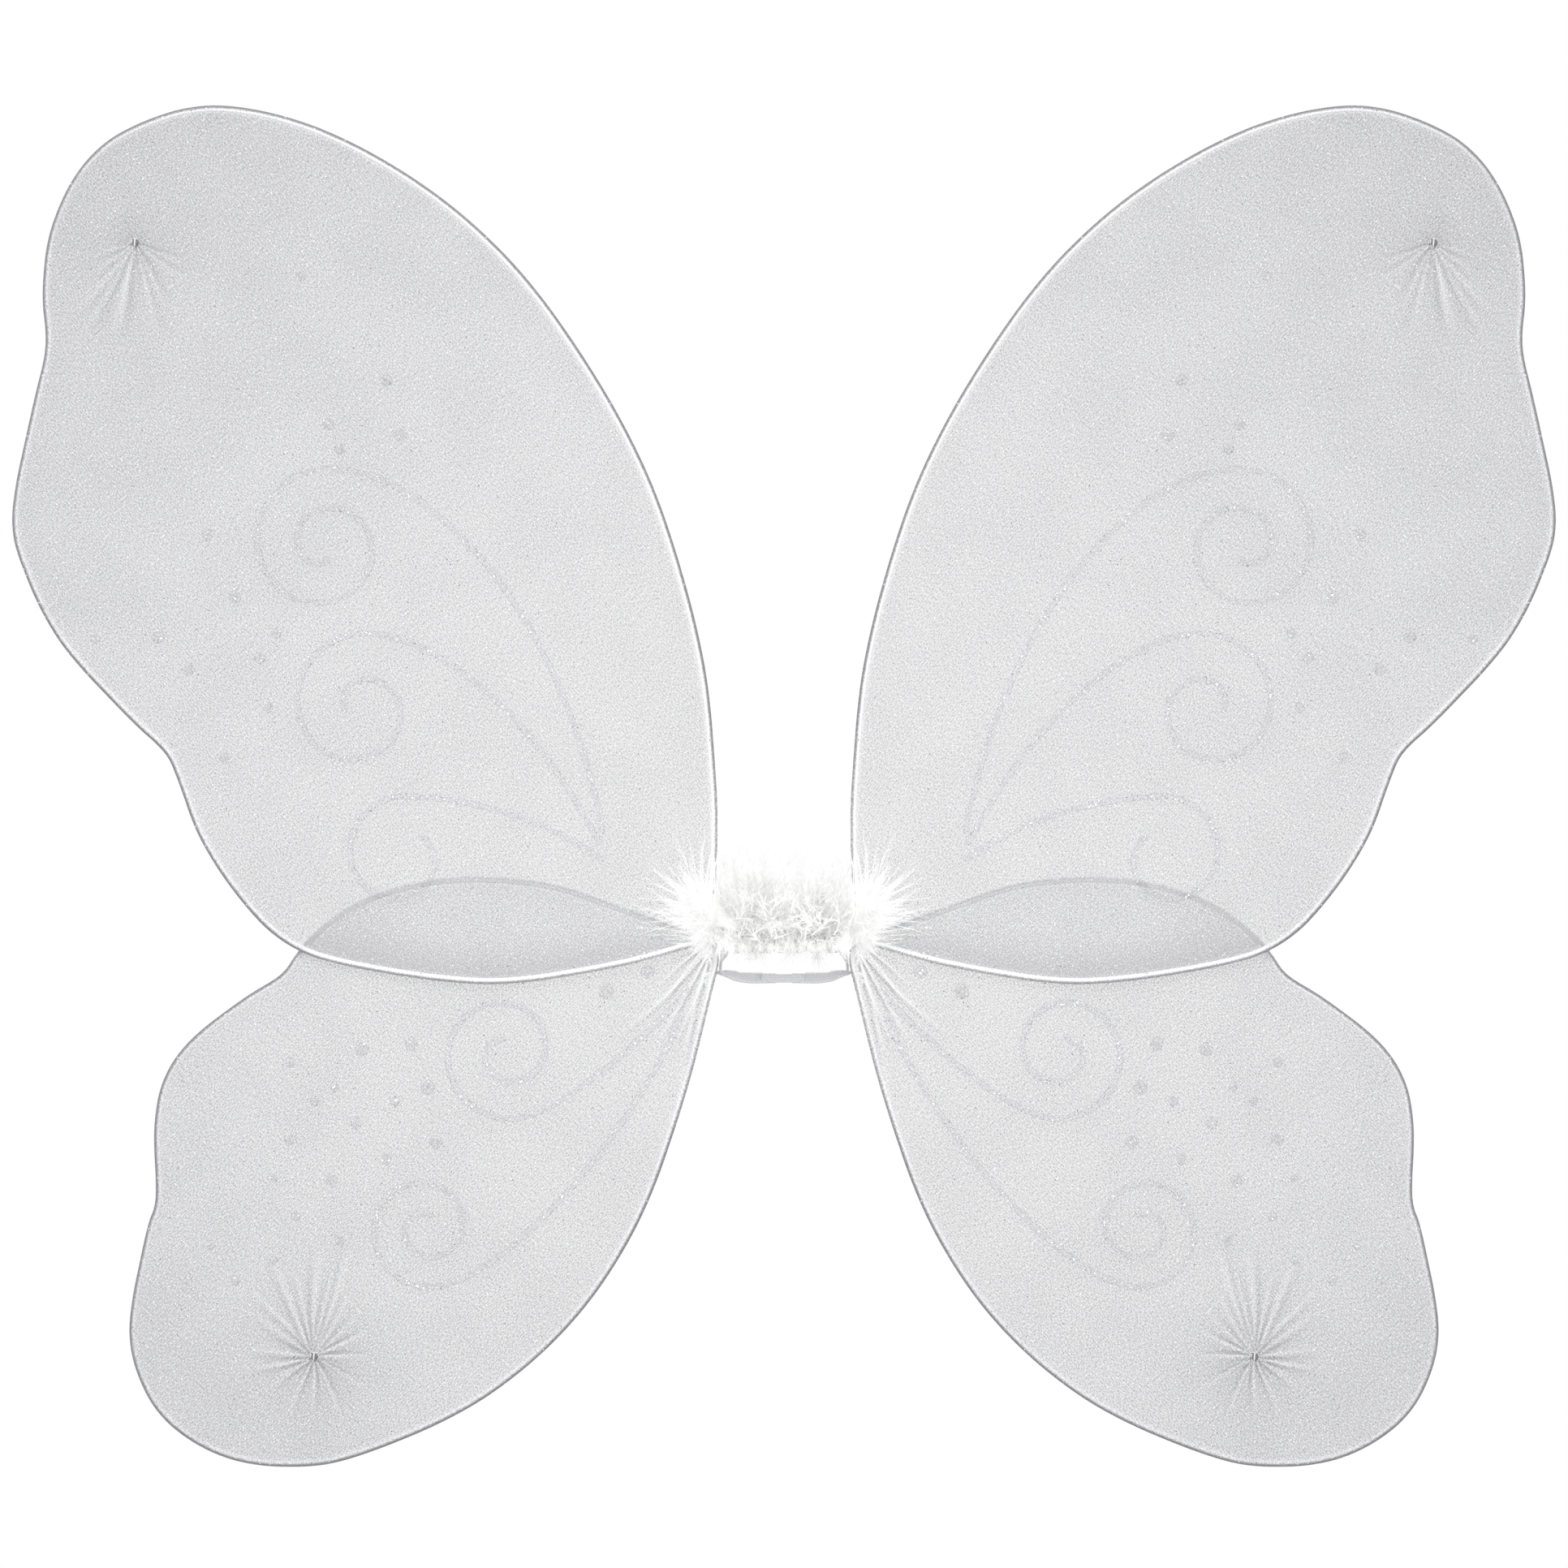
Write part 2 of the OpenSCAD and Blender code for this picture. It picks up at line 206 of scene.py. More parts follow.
def knittedNylon():
    # Sheer nylon knitted on a fine machine and stretched: fine wales along the wing, a frosted
    # see-through veil that turns greyer and denser where the cloth is gathered.
    material, tree = newMaterial("sheerNylonKnit")
    waleWidth = 0.46 * mm  # real wales are finer, perhaps 0.3 mm, and are drawn coarser so that they show
    uv = addNode(tree, "ShaderNodeUVMap", {"uv_map": "knit"}).outputs["UV"]
    along = addNode(tree, "ShaderNodeMapping", {}, {"Vector": uv, "Scale": (0.6, 1.0, 1.0)}).outputs["Vector"]
    grain = addNode(tree, "ShaderNodeTexNoise", {"noise_dimensions": "2D"}, {
        "Vector": along, "Scale": 1 / waleWidth, "Detail": 4.0, "Roughness": 0.85}).outputs["Fac"]
    wales = addNode(tree, "ShaderNodeTexWave", {"bands_direction": "Y", "wave_profile": "SIN"}, {
        "Vector": uv, "Scale": math.pi / (20 * waleWidth), "Distortion": 6.0,
        "Detail": 2.0, "Detail Scale": 1.4}).outputs["Fac"]
    cloud = addNode(tree, "ShaderNodeTexNoise", {"noise_dimensions": "2D"}, {
        "Vector": uv, "Scale": 1 / (30 * mm), "Detail": 2.0}).outputs["Fac"]
    # the attribute holds the cloth's density and, painted into it, shade and highlights: a darker rim round
    # the wire, a painted highlight over it, light and shade along the pleats and a lighter hind wing where
    # the wings overlap
    clothDensityAndLight = addNode(tree, "ShaderNodeAttribute", {"attribute_name": "clothDensityAndLight"}).outputs["Fac"]
    grainPart = addNode(tree, "ShaderNodeMapRange", {}, {
        "Value": grain, "From Min": 0.25, "From Max": 0.75,
        "To Min": -0.62, "To Max": 0.62}).outputs["Result"]
    walePart = addNode(tree, "ShaderNodeMapRange", {}, {
        "Value": wales, "To Min": -0.07, "To Max": 0.07}).outputs["Result"]
    cloudPart = addNode(tree, "ShaderNodeMapRange", {}, {
        "Value": cloud, "From Min": 0.35, "From Max": 0.65,
        "To Min": -0.015, "To Max": 0.015}).outputs["Result"]
    sums = grainPart
    for extra in (walePart, cloudPart, clothDensityAndLight):
        sums = addNode(tree, "ShaderNodeMath", {"operation": "ADD"}, {0: sums, 1: extra}).outputs[0]
    cover = addNode(tree, "ShaderNodeMath", {"operation": "ADD", "use_clamp": True}, {
        0: sums, 1: 0.42}).outputs[0]
    shade = addNode(tree, "ShaderNodeMapRange", {}, {"Value": cover, "From Min": 0.2}).outputs["Result"]
    colour = addNode(tree, "ShaderNodeMix", {"data_type": "RGBA"}, {
        "Factor": shade, 6: srgb("#cfcfd1"), 7: srgb("#909093")}).outputs[2]
    bump = addNode(tree, "ShaderNodeBump", {}, {
        "Strength": 0.25, "Distance": 0.1 * mm, "Height": grain}).outputs["Normal"]
    cloth = addNode(tree, "ShaderNodeBsdfPrincipled", {}, {
        "Base Color": colour, "Roughness": 0.55, "IOR": 1.53, "Normal": bump,
        "Specular IOR Level": 0.35, "Sheen Weight": 0.15, "Sheen Roughness": 0.4}).outputs["BSDF"]
    glow = addNode(tree, "ShaderNodeBsdfTranslucent", {}, {"Color": colour}).outputs["BSDF"]
    lit = addNode(tree, "ShaderNodeMixShader", {}, {0: 0.35, 1: cloth, 2: glow}).outputs["Shader"]
    clear = addNode(tree, "ShaderNodeBsdfTransparent", {}, {"Color": srgb("#ffffff")}).outputs["BSDF"]
    veil = addNode(tree, "ShaderNodeMixShader", {}, {0: cover, 1: clear, 2: lit}).outputs["Shader"]
    # stray flakes and lint caught in the knit
    specks = addNode(tree, "ShaderNodeTexVoronoi", {"voronoi_dimensions": "2D"}, {
        "Vector": uv, "Scale": 1 / (2.6 * mm)})
    tone = addNode(tree, "ShaderNodeSeparateColor", {}, {"Color": specks.outputs["Color"]})
    few = addNode(tree, "ShaderNodeMapRange", {}, {
        "Value": tone.outputs["Red"], "From Min": 0.80, "From Max": 0.82}).outputs["Result"]
    small = addNode(tree, "ShaderNodeMapRange", {}, {
        "Value": specks.outputs["Distance"], "From Min": 0.055, "From Max": 0.095,
        "To Min": 1.0, "To Max": 0.0}).outputs["Result"]
    isFlake = addNode(tree, "ShaderNodeMath", {"operation": "MULTIPLY"}, {0: few, 1: small}).outputs[0]
    pale = addNode(tree, "ShaderNodeMapRange", {}, {
        "Value": tone.outputs["Green"], "From Min": 0.12, "From Max": 0.2}).outputs["Result"]
    flakeColour = addNode(tree, "ShaderNodeMix", {"data_type": "RGBA"}, {
        "Factor": pale, 6: srgb("#6e6e70"), 7: srgb("#ffffff")}).outputs[2]
    flake = addNode(tree, "ShaderNodeBsdfPrincipled", {}, {
        "Base Color": flakeColour, "Roughness": 0.25, "Metallic": 0.3}).outputs["BSDF"]
    whole = addNode(tree, "ShaderNodeMixShader", {}, {0: isFlake, 1: veil, 2: flake}).outputs["Shader"]
    addNode(tree, "ShaderNodeOutputMaterial", {}, {"Surface": whole})
    return material


def cottonTape():
    # Woven cotton tape: crossing threads that catch the light as fine ribs
    material, tree = newMaterial("wovenCottonTape")
    threadWidth = 0.45 * mm
    spot = addNode(tree, "ShaderNodeTexCoord").outputs["Object"]
    waves = []
    for direction in ("X", "Z"):
        waves.append(addNode(tree, "ShaderNodeTexWave", {"bands_direction": direction}, {
            "Vector": spot, "Scale": bandLength / threadWidth, "Distortion": 1.5,
            "Detail": 2.0}).outputs["Fac"])
    both = addNode(tree, "ShaderNodeMath", {"operation": "MULTIPLY"}, {0: waves[0], 1: waves[1]}).outputs[0]
    fuzz = addNode(tree, "ShaderNodeTexNoise", {}, {
        "Vector": spot, "Scale": 0.5 / threadWidth, "Detail": 4.0}).outputs["Fac"]
    mixed = addNode(tree, "ShaderNodeMath", {"operation": "MULTIPLY"}, {0: both, 1: fuzz}).outputs[0]
    raised = addNode(tree, "ShaderNodeMapRange", {}, {"Value": mixed, "From Max": 0.5}).outputs["Result"]
    colour = addNode(tree, "ShaderNodeMix", {"data_type": "RGBA"}, {
        "Factor": raised, 6: srgb("#bdbdbb"), 7: srgb("#f2f2f0")}).outputs[2]
    bump = addNode(tree, "ShaderNodeBump", {}, {
        "Strength": 0.5, "Distance": 0.15 * mm, "Height": mixed}).outputs["Normal"]
    cloth = addNode(tree, "ShaderNodeBsdfPrincipled", {}, {
        "Base Color": colour, "Roughness": 0.8, "Normal": bump, "Sheen Weight": 0.1}).outputs["BSDF"]
    addNode(tree, "ShaderNodeOutputMaterial", {}, {"Surface": cloth})
    return material


def coatedWire():
    # Soft steel wire dipped in white PVC: smooth, with small drag marks, a soft highlight along it
    material, tree = newMaterial("dippedWireCoating")
    spot = addNode(tree, "ShaderNodeTexCoord").outputs["Object"]
    marks = addNode(tree, "ShaderNodeTexNoise", {}, {
        "Vector": spot, "Scale": 1 / (1.5 * mm), "Detail": 3.0}).outputs["Fac"]
    colour = addNode(tree, "ShaderNodeMix", {"data_type": "RGBA"}, {
        "Factor": marks, 6: srgb("#f0f0f1"), 7: srgb("#ffffff")}).outputs[2]
    rough = addNode(tree, "ShaderNodeMapRange", {}, {
        "Value": marks, "From Min": 0.3, "From Max": 0.7, "To Min": 0.3, "To Max": 0.45}).outputs["Result"]
    coat = addNode(tree, "ShaderNodeBsdfPrincipled", {}, {
        "Base Color": colour, "Roughness": rough, "IOR": 1.53}).outputs["BSDF"]
    addNode(tree, "ShaderNodeOutputMaterial", {}, {"Surface": coat})
    return material


def glitterGlue(name, thinnest, thickest, darkest, lightest):
    # Clear glue with silver flakes, squeezed on and dried: a greyish wet line full of pin-point sparks
    material, tree = newMaterial(name)
    flake = 0.45 * mm
    spot = addNode(tree, "ShaderNodeTexCoord").outputs["Object"]
    cells = addNode(tree, "ShaderNodeTexVoronoi", {}, {"Vector": spot, "Scale": 1 / flake})
    tone = addNode(tree, "ShaderNodeSeparateColor", {}, {"Color": cells.outputs["Color"]})
    spark = addNode(tree, "ShaderNodeMapRange", {}, {
        "Value": tone.outputs["Red"], "From Min": 0.93, "From Max": 0.97}).outputs["Result"]
    tilt = addNode(tree, "ShaderNodeVectorMath", {"operation": "SUBTRACT"}, {
        0: cells.outputs["Color"], 1: (0.5, 0.5, 0.5)}).outputs["Vector"]
    normal = addNode(tree, "ShaderNodeNewGeometry").outputs["Normal"]
    leaned = addNode(tree, "ShaderNodeVectorMath", {"operation": "ADD"}, {
        0: normal, 1: tilt}).outputs["Vector"]
    facing = addNode(tree, "ShaderNodeVectorMath", {"operation": "NORMALIZE"}, {0: leaned}).outputs["Vector"]
    colour = addNode(tree, "ShaderNodeMix", {"data_type": "RGBA"}, {
        "Factor": tone.outputs["Green"], 6: srgb(darkest), 7: srgb(lightest)}).outputs[2]
    glue = addNode(tree, "ShaderNodeBsdfPrincipled", {}, {
        "Base Color": colour, "Roughness": 0.35, "IOR": 1.47, "Coat Weight": 0.3}).outputs["BSDF"]
    flakes = addNode(tree, "ShaderNodeBsdfPrincipled", {}, {
        "Base Color": srgb("#f2f2f5"), "Metallic": 1.0, "Roughness": 0.18, "Normal": facing}).outputs["BSDF"]
    body = addNode(tree, "ShaderNodeMixShader", {}, {0: spark, 1: glue, 2: flakes}).outputs["Shader"]
    clear = addNode(tree, "ShaderNodeBsdfTransparent").outputs["BSDF"]
    cover = addNode(tree, "ShaderNodeMapRange", {}, {
        "Value": tone.outputs["Blue"], "To Min": thinnest, "To Max": thickest}).outputs["Result"]
    seen = addNode(tree, "ShaderNodeMath", {"operation": "MAXIMUM"}, {0: cover, 1: spark}).outputs[0]
    final = addNode(tree, "ShaderNodeMixShader", {}, {0: seen, 1: clear, 2: body}).outputs["Shader"]
    addNode(tree, "ShaderNodeOutputMaterial", {}, {"Surface": final})
    return material


def marabouDown():
    # Washed and bleached marabou down: soft white barbs that let light through and never shine, with a
    # painted glow for the light scattered in the down
    material, tree = newMaterial("bleachedMarabouDown")
    tone = addNode(tree, "ShaderNodeAttribute", {"attribute_name": "barbTone"}).outputs["Fac"]
    colour = addNode(tree, "ShaderNodeMix", {"data_type": "RGBA"}, {
        "Factor": tone, 6: srgb("#c8c8c7"), 7: srgb("#ffffff")}).outputs[2]
    # painted glow: the weak emission brightens the down as if lit through, though it is no lamp
    matt = addNode(tree, "ShaderNodeBsdfPrincipled", {}, {
        "Base Color": colour, "Roughness": 0.75, "Sheen Weight": 0.3, "Specular IOR Level": 0.2,
        "Emission Color": colour, "Emission Strength": 0.21}).outputs["BSDF"]
    glow = addNode(tree, "ShaderNodeBsdfTranslucent", {}, {"Color": colour}).outputs["BSDF"]
    down = addNode(tree, "ShaderNodeMixShader", {}, {0: 0.45, 1: matt, 2: glow}).outputs["Shader"]
    addNode(tree, "ShaderNodeOutputMaterial", {}, {"Surface": down})
    return material


def braidedElastic():
    # Flat braided elastic: rubber cores under cotton yarn, with fine slanted stitches; its light grey is
    # partly painted shade, for a white band that hangs in shadow under the trim
    material, tree = newMaterial("braidedElastic")
    stitch = 0.5 * mm
    uv = addNode(tree, "ShaderNodeUVMap", {"uv_map": "braid"}).outputs["UV"]
    braid = addNode(tree, "ShaderNodeTexWave", {"bands_direction": "DIAGONAL"}, {
        "Vector": uv, "Scale": bandLength / stitch, "Distortion": 1.0, "Detail": 1.0}).outputs["Fac"]
    fuzz = addNode(tree, "ShaderNodeTexNoise", {}, {
        "Vector": uv, "Scale": 1 / (0.4 * mm), "Detail": 3.0}).outputs["Fac"]
    mixed = addNode(tree, "ShaderNodeMath", {"operation": "MULTIPLY"}, {0: braid, 1: fuzz}).outputs[0]
    raised = addNode(tree, "ShaderNodeMapRange", {}, {"Value": mixed, "From Max": 0.6}).outputs["Result"]
    colour = addNode(tree, "ShaderNodeMix", {"data_type": "RGBA"}, {
        "Factor": raised, 6: srgb("#cbcbce"), 7: srgb("#eeeef0")}).outputs[2]
    bump = addNode(tree, "ShaderNodeBump", {}, {
        "Strength": 0.6, "Distance": 0.15 * mm, "Height": mixed}).outputs["Normal"]
    yarn = addNode(tree, "ShaderNodeBsdfPrincipled", {}, {
        "Base Color": colour, "Roughness": 0.7, "Normal": bump, "Sheen Weight": 0.1}).outputs["BSDF"]
    addNode(tree, "ShaderNodeOutputMaterial", {}, {"Surface": yarn})
    return material


def pressedFelt():
    # Pressed wool felt: matted fibres with no weave, a soft mottled white
    material, tree = newMaterial("pressedFelt")
    spot = addNode(tree, "ShaderNodeTexCoord").outputs["Object"]
    fibre = addNode(tree, "ShaderNodeTexNoise", {}, {
        "Vector": spot, "Scale": 1 / (0.7 * mm), "Detail": 6.0, "Roughness": 0.7,
        "Distortion": 1.2}).outputs["Fac"]
    mottled = addNode(tree, "ShaderNodeMapRange", {}, {
        "Value": fibre, "From Min": 0.3, "From Max": 0.7}).outputs["Result"]
    colour = addNode(tree, "ShaderNodeMix", {"data_type": "RGBA"}, {
        "Factor": mottled, 6: srgb("#cfcfcd"), 7: srgb("#f0f0ee")}).outputs[2]
    bump = addNode(tree, "ShaderNodeBump", {}, {
        "Strength": 0.8, "Distance": 0.25 * mm, "Height": fibre}).outputs["Normal"]
    felt = addNode(tree, "ShaderNodeBsdfPrincipled", {}, {
        "Base Color": colour, "Roughness": 0.95, "Normal": bump, "Sheen Weight": 0.4}).outputs["BSDF"]
    addNode(tree, "ShaderNodeOutputMaterial", {}, {"Surface": felt})
    return material


def spunThread():
    # Spun polyester sewing thread: a tight twist that shows as slanted ribs with a slight silkiness
    material, tree = newMaterial("spunPolyesterThread")
    twistLength = 0.35 * mm
    spot = addNode(tree, "ShaderNodeTexCoord").outputs["Object"]
    twist = addNode(tree, "ShaderNodeTexWave", {"bands_direction": "DIAGONAL"}, {
        "Vector": spot, "Scale": bandLength / twistLength, "Distortion": 0.6}).outputs["Fac"]
    colour = addNode(tree, "ShaderNodeMix", {"data_type": "RGBA"}, {
        "Factor": twist, 6: srgb("#c2c2c2"), 7: srgb("#f2f2f1")}).outputs[2]
    bump = addNode(tree, "ShaderNodeBump", {}, {
        "Strength": 0.6, "Distance": 0.1 * mm, "Height": twist}).outputs["Normal"]
    thread = addNode(tree, "ShaderNodeBsdfPrincipled", {}, {
        "Base Color": colour, "Roughness": 0.5, "Normal": bump, "Sheen Weight": 0.2}).outputs["BSDF"]
    addNode(tree, "ShaderNodeOutputMaterial", {}, {"Surface": thread})
    return material


nylon = knittedNylon()
wireCoat = coatedWire()
glueLines = glitterGlue("driedGlitterGlue", 0.0, 0.22, "#a2a2a6", "#dadade")
glueDrops = glitterGlue("driedGlitterGlueDrops", 0.1, 0.5, "#85858a", "#cacace")
down = marabouDown()
elastic = braidedElastic()
felt = pressedFelt()
thread = spunThread()
tape = cottonTape()
print("materials made")


# sleeves and wires

wing = {
    "edgeStep": 2.6 * mm,    # spacing of the points along the wire
    "gridStep": 4.5 * mm,    # spacing of the cloth's points away from folds
    "edgeTurns": 5,          # rows of points from the outer edge round to the flat of the cloth
    "rimDark": 0.62,         # how much denser and darker the cloth is where it turns round the wire: partly cloth seen edge on, partly painted shade on the wire's outer side
    "wireBright": {"upper": 0.46, "lower": 0.25},  # and a painted highlight over the wire: how much lighter the cloth is made there
    "crossBright": 0.42,     # the same for the front wing's edge, where it lies over the hind wing
    "crossRim": {"upper": 0.3, "lower": -0.2},  # takes the place of rimDark where the wings cross
    "crossBelow": 45 * mm,   # and only below this height
    "hindLightening": 0.27,        # painted light: a hind wing's cloth is made lighter softly under the front one,
    "hindFade": (0, 20 * mm),  # between these distances in from the front one's edge
    "tipDense": {"upper": 0.19, "lower": 0.14},  # how much denser the far end is than the middle
    "rootThin": 0.08,        # and how much thinner the cloth is all over
    "rimFade": 70 * mm,      # the dark rim comes up to its full strength this far out from a root
    "insideRows": (0.6 * mm, 1.3 * mm, 2.1 * mm),  # rows of points this far inside the flat's edge
    "flatFrom": 6 * mm,      # pleats and swells have their full height this far in
    "swell": 0.25,           # height in mm of the cloth's soft unevenness, and how often in a metre
    "swellOften": 18,
    "brightSide": (0.55, 0.83),  # the painted highlight over the wire is strongest where its outer side faces this way, in x and z
    "wireSides": 12,
    "clothGap": 0.3 * mm,    # from the edge of the cloth to the wire's own surface
    "rootNear": (29 * mm, -4 * mm),  # a sleeve's two corners at the root are the ones nearest to this
}

# pleats: foci where the cloth is drawn together. Lengths in mm, angles from +X on the left, in degrees.
pleats = {
    "upper": {
        "tie": {"reach": 44, "fine": 1.5, "around": 220, "pull": 0.75, "count": 24, "height": 0.7,
                "long": [(-140, 20), (-126, 34), (-117, 40), (-106, 30), (-97, 36), (-86, 20), (-74, 34),
                         (-62, 26), (-38, 24), (-24, 20), (-160, 16)],
                "short": 9, "dark": 0.12, "streak": 0.19, "shortStreak": 0.5},
        "root": {"reach": 60, "fine": 7, "around": 150, "pull": 0.4, "count": 34, "height": 0.3,
                 "long": [(96, 40), (112, 34), (128, 30)], "short": 26, "dark": 0.0, "streak": 0.14,
                 "shortStreak": 0.4},
    },
    "lower": {
        "tie": {"reach": 46, "fine": 1.5, "around": 240, "pull": 0.8, "count": 28, "height": 0.9,
                "long": [(128, 34), (116, 42), (103, 30), (92, 40), (80, 32), (68, 44), (56, 26), (40, 22),
                         (22, 24), (4, 20), (150, 26), (172, 24), (195, 26), (214, 20), (330, 22),
                         (300, 22), (272, 20), (244, 22)],
                "short": 15, "dark": 0.20, "streak": 0.25, "shortStreak": 0.8, "narrow": 0.8},
        "root": {"reach": 70, "fine": 7, "around": 420, "pull": 0.5, "count": 40, "height": 0.4,
                 "long": [(-96, 46), (-101, 54), (-106, 44), (-111, 58), (-117, 46), (-124, 50),
                          (-133, 34), (-146, 28)],
                 "short": 24, "dark": 0.0, "streak": 0.45, "shortStreak": 0.25, "narrow": 0.35},
    },
}

# where each wire leg runs into the binding on the fold line: x and z on the left side, in mm
rootEnds = {
    "upper": {"cut": 12.0, "first": [(-25.0, 0.6), (-25.5, 4.0), (-25.8, 7.4)],
              "last": [(-32.6, -7.7), (-29.2, -6.2), (-26.6, -5.0)]},
    "lower": {"cut": 21.0, "first": [(-27.0, -3.6), (-31.5, -2.6), (-35.2, -1.5), (-40.0, 0.0)],
              "last": [(-25.3, -20.9), (-23.9, -15.2), (-23.6, -10.5), (-24.4, -7.2)]},
}


def cutOutline(node):
    # the closed edge of a sleeve's front face, as x and z, from the root's upper corner and round
    work = bmesh.new()
    work.from_mesh(frame["nodes"][node].data)
    bmesh.ops.remove_doubles(work, verts=work.verts, dist=1e-6)
    frontY = min(v.co.y for v in work.verts)
    front = {f for f in work.faces if abs(f.calc_center_median().y - frontY) < 1e-5}
    edges = [e for f in front for e in f.edges if sum(g in front for g in e.link_faces) == 1]
    nextTo = {}
    for e in edges:
        a, b = e.verts
        nextTo.setdefault(a, []).append(b)
        nextTo.setdefault(b, []).append(a)
    nearX, nearZ = wing["rootNear"]
    ends = sorted(nextTo, key=lambda v: abs(abs(v.co.x) - nearX) + abs(v.co.z - nearZ) * 0.5)[:2]
    start, stop = sorted(ends, key=lambda v: -v.co.z)
    loop = [start]
    here = [v for v in nextTo[start] if v is not stop][0]
    while here is not stop:
        loop.append(here)
        here = [v for v in nextTo[here] if v != loop[-2]][0]
    loop.append(stop)
    points = np.array([(v.co.x, v.co.z) for v in loop])
    work.free()
    return points


def smoothPath(points, step):
    # Catmull-Rom through the points, then even spacing along it
    fine = []
    n = len(points)
    for i in range(n - 1):
        a, b, c, d = (points[min(max(k, 0), n - 1)] for k in (i - 1, i, i + 1, i + 2))
        for t in np.linspace(0, 1, 12, endpoint=False):
            fine.append(0.5 * (2 * b + (c - a) * t + (2 * a - 5 * b + 4 * c - d) * t * t
                               + (3 * b - a - 3 * c + d) * t ** 3))
    fine.append(points[-1])
    fine = np.array(fine)
    run = np.concatenate([[0], np.cumsum(np.linalg.norm(np.diff(fine, axis=0), axis=1))])
    count = max(3, int(round(run[-1] / step)))
    at = np.linspace(0, run[-1], count + 1)
    return np.stack([np.interp(at, run, fine[:, k]) for k in range(fine.shape[1])], 1)


def sideways(path):
    ahead = unit(np.gradient(path, axis=0))
    return np.stack([ahead[:, 1], -ahead[:, 0]], 1)


def insideOf(points, polygon):
    x, z = points[:, 0][:, None], points[:, 1][:, None]
    x1, z1 = polygon[:, 0], polygon[:, 1]
    x2, z2 = np.roll(x1, -1), np.roll(z1, -1)
    crosses = ((z1 > z) != (z2 > z)) & (x < (x2 - x1) * (z - z1) / (z2 - z1 + 1e-15) + x1)
    return crosses.sum(1) % 2 == 1


def ringPoints(focus, settings, growth):
    rows = []
    r = settings["fine"] * mm
    k = 0
    while r < settings["reach"] * mm:
        a = (np.arange(settings["around"]) + 0.5 * (k % 2)) * 2 * math.pi / settings["around"]
        rows.append(np.stack([focus[0] + r * np.cos(a), focus[1] + r * np.sin(a)], 1))
        r *= growth
        k += 1
    return np.concatenate(rows)


def signedArea(loop):
    x, z = loop[:, 0], loop[:, 1]
    return 0.5 * (np.dot(x, np.roll(z, -1)) - np.dot(z, np.roll(x, -1)))


def pathTree(points):
    tree = kdtree.KDTree(len(points))
    for i, p in enumerate(points):
        tree.insert((p[0], p[1], 0), i)
    tree.balance()
    return tree


def nearestOn(tree, points):
    # for each point, the number of the nearest one in the tree and how far away it is
    found = [tree.find((p[0], p[1], 0)) for p in points]
    return np.array([f[1] for f in found]), np.array([f[2] for f in found])


def keepInside(points, polygon, margin, tree):
    points = points[insideOf(points, polygon)]
    return points[nearestOn(tree, points)[1] > margin]


def pleatField(points, focus, settings, seed):
    # height of the pleats, their painted light and shade streaks, and how much the cloth is drawn together
    rng = np.random.default_rng(seed)
    d = points - focus
    r = np.hypot(d[:, 0], d[:, 1]) / mm
    a = np.arctan2(d[:, 1], d[:, 0])
    height = np.zeros(len(points))
    streak = np.zeros(len(points))
    folds = []
    for k in range(settings["count"]):
        angle = 2 * math.pi * (k + rng.uniform(-0.3, 0.3)) / settings["count"]
        folds.append((angle, settings["short"] * rng.uniform(0.5, 1.2), settings["shortStreak"]))
    for angle, length in settings["long"]:
        folds.append((math.radians(angle + rng.uniform(-1, 1)), length, 1.0))
    for angle, length, tall in folds:
        bend = rng.uniform(-0.004, 0.004)
        turn = np.angle(np.exp(1j * (a - angle - bend * r)))
        width = math.pi / settings["count"] * 0.36 * settings.get("narrow", 1.0) * rng.uniform(0.7, 1.2)
        width = width + 0.35 / np.maximum(r, 1)
        fade = np.clip(1 - r / length, 0, 1) ** 0.8 * np.clip(r / 4, 0, 1)
        crest = np.exp(-(turn / width) ** 2)
        height += tall * fade * crest
        streak += tall * fade * (crest - 0.8 * np.exp(-((turn - 1.9 * width) / width) ** 2))
    draw = np.exp(-(r / (settings["short"] * 0.8)) ** 1.3)
    return height, np.clip(streak, -1.2, 1.2), draw


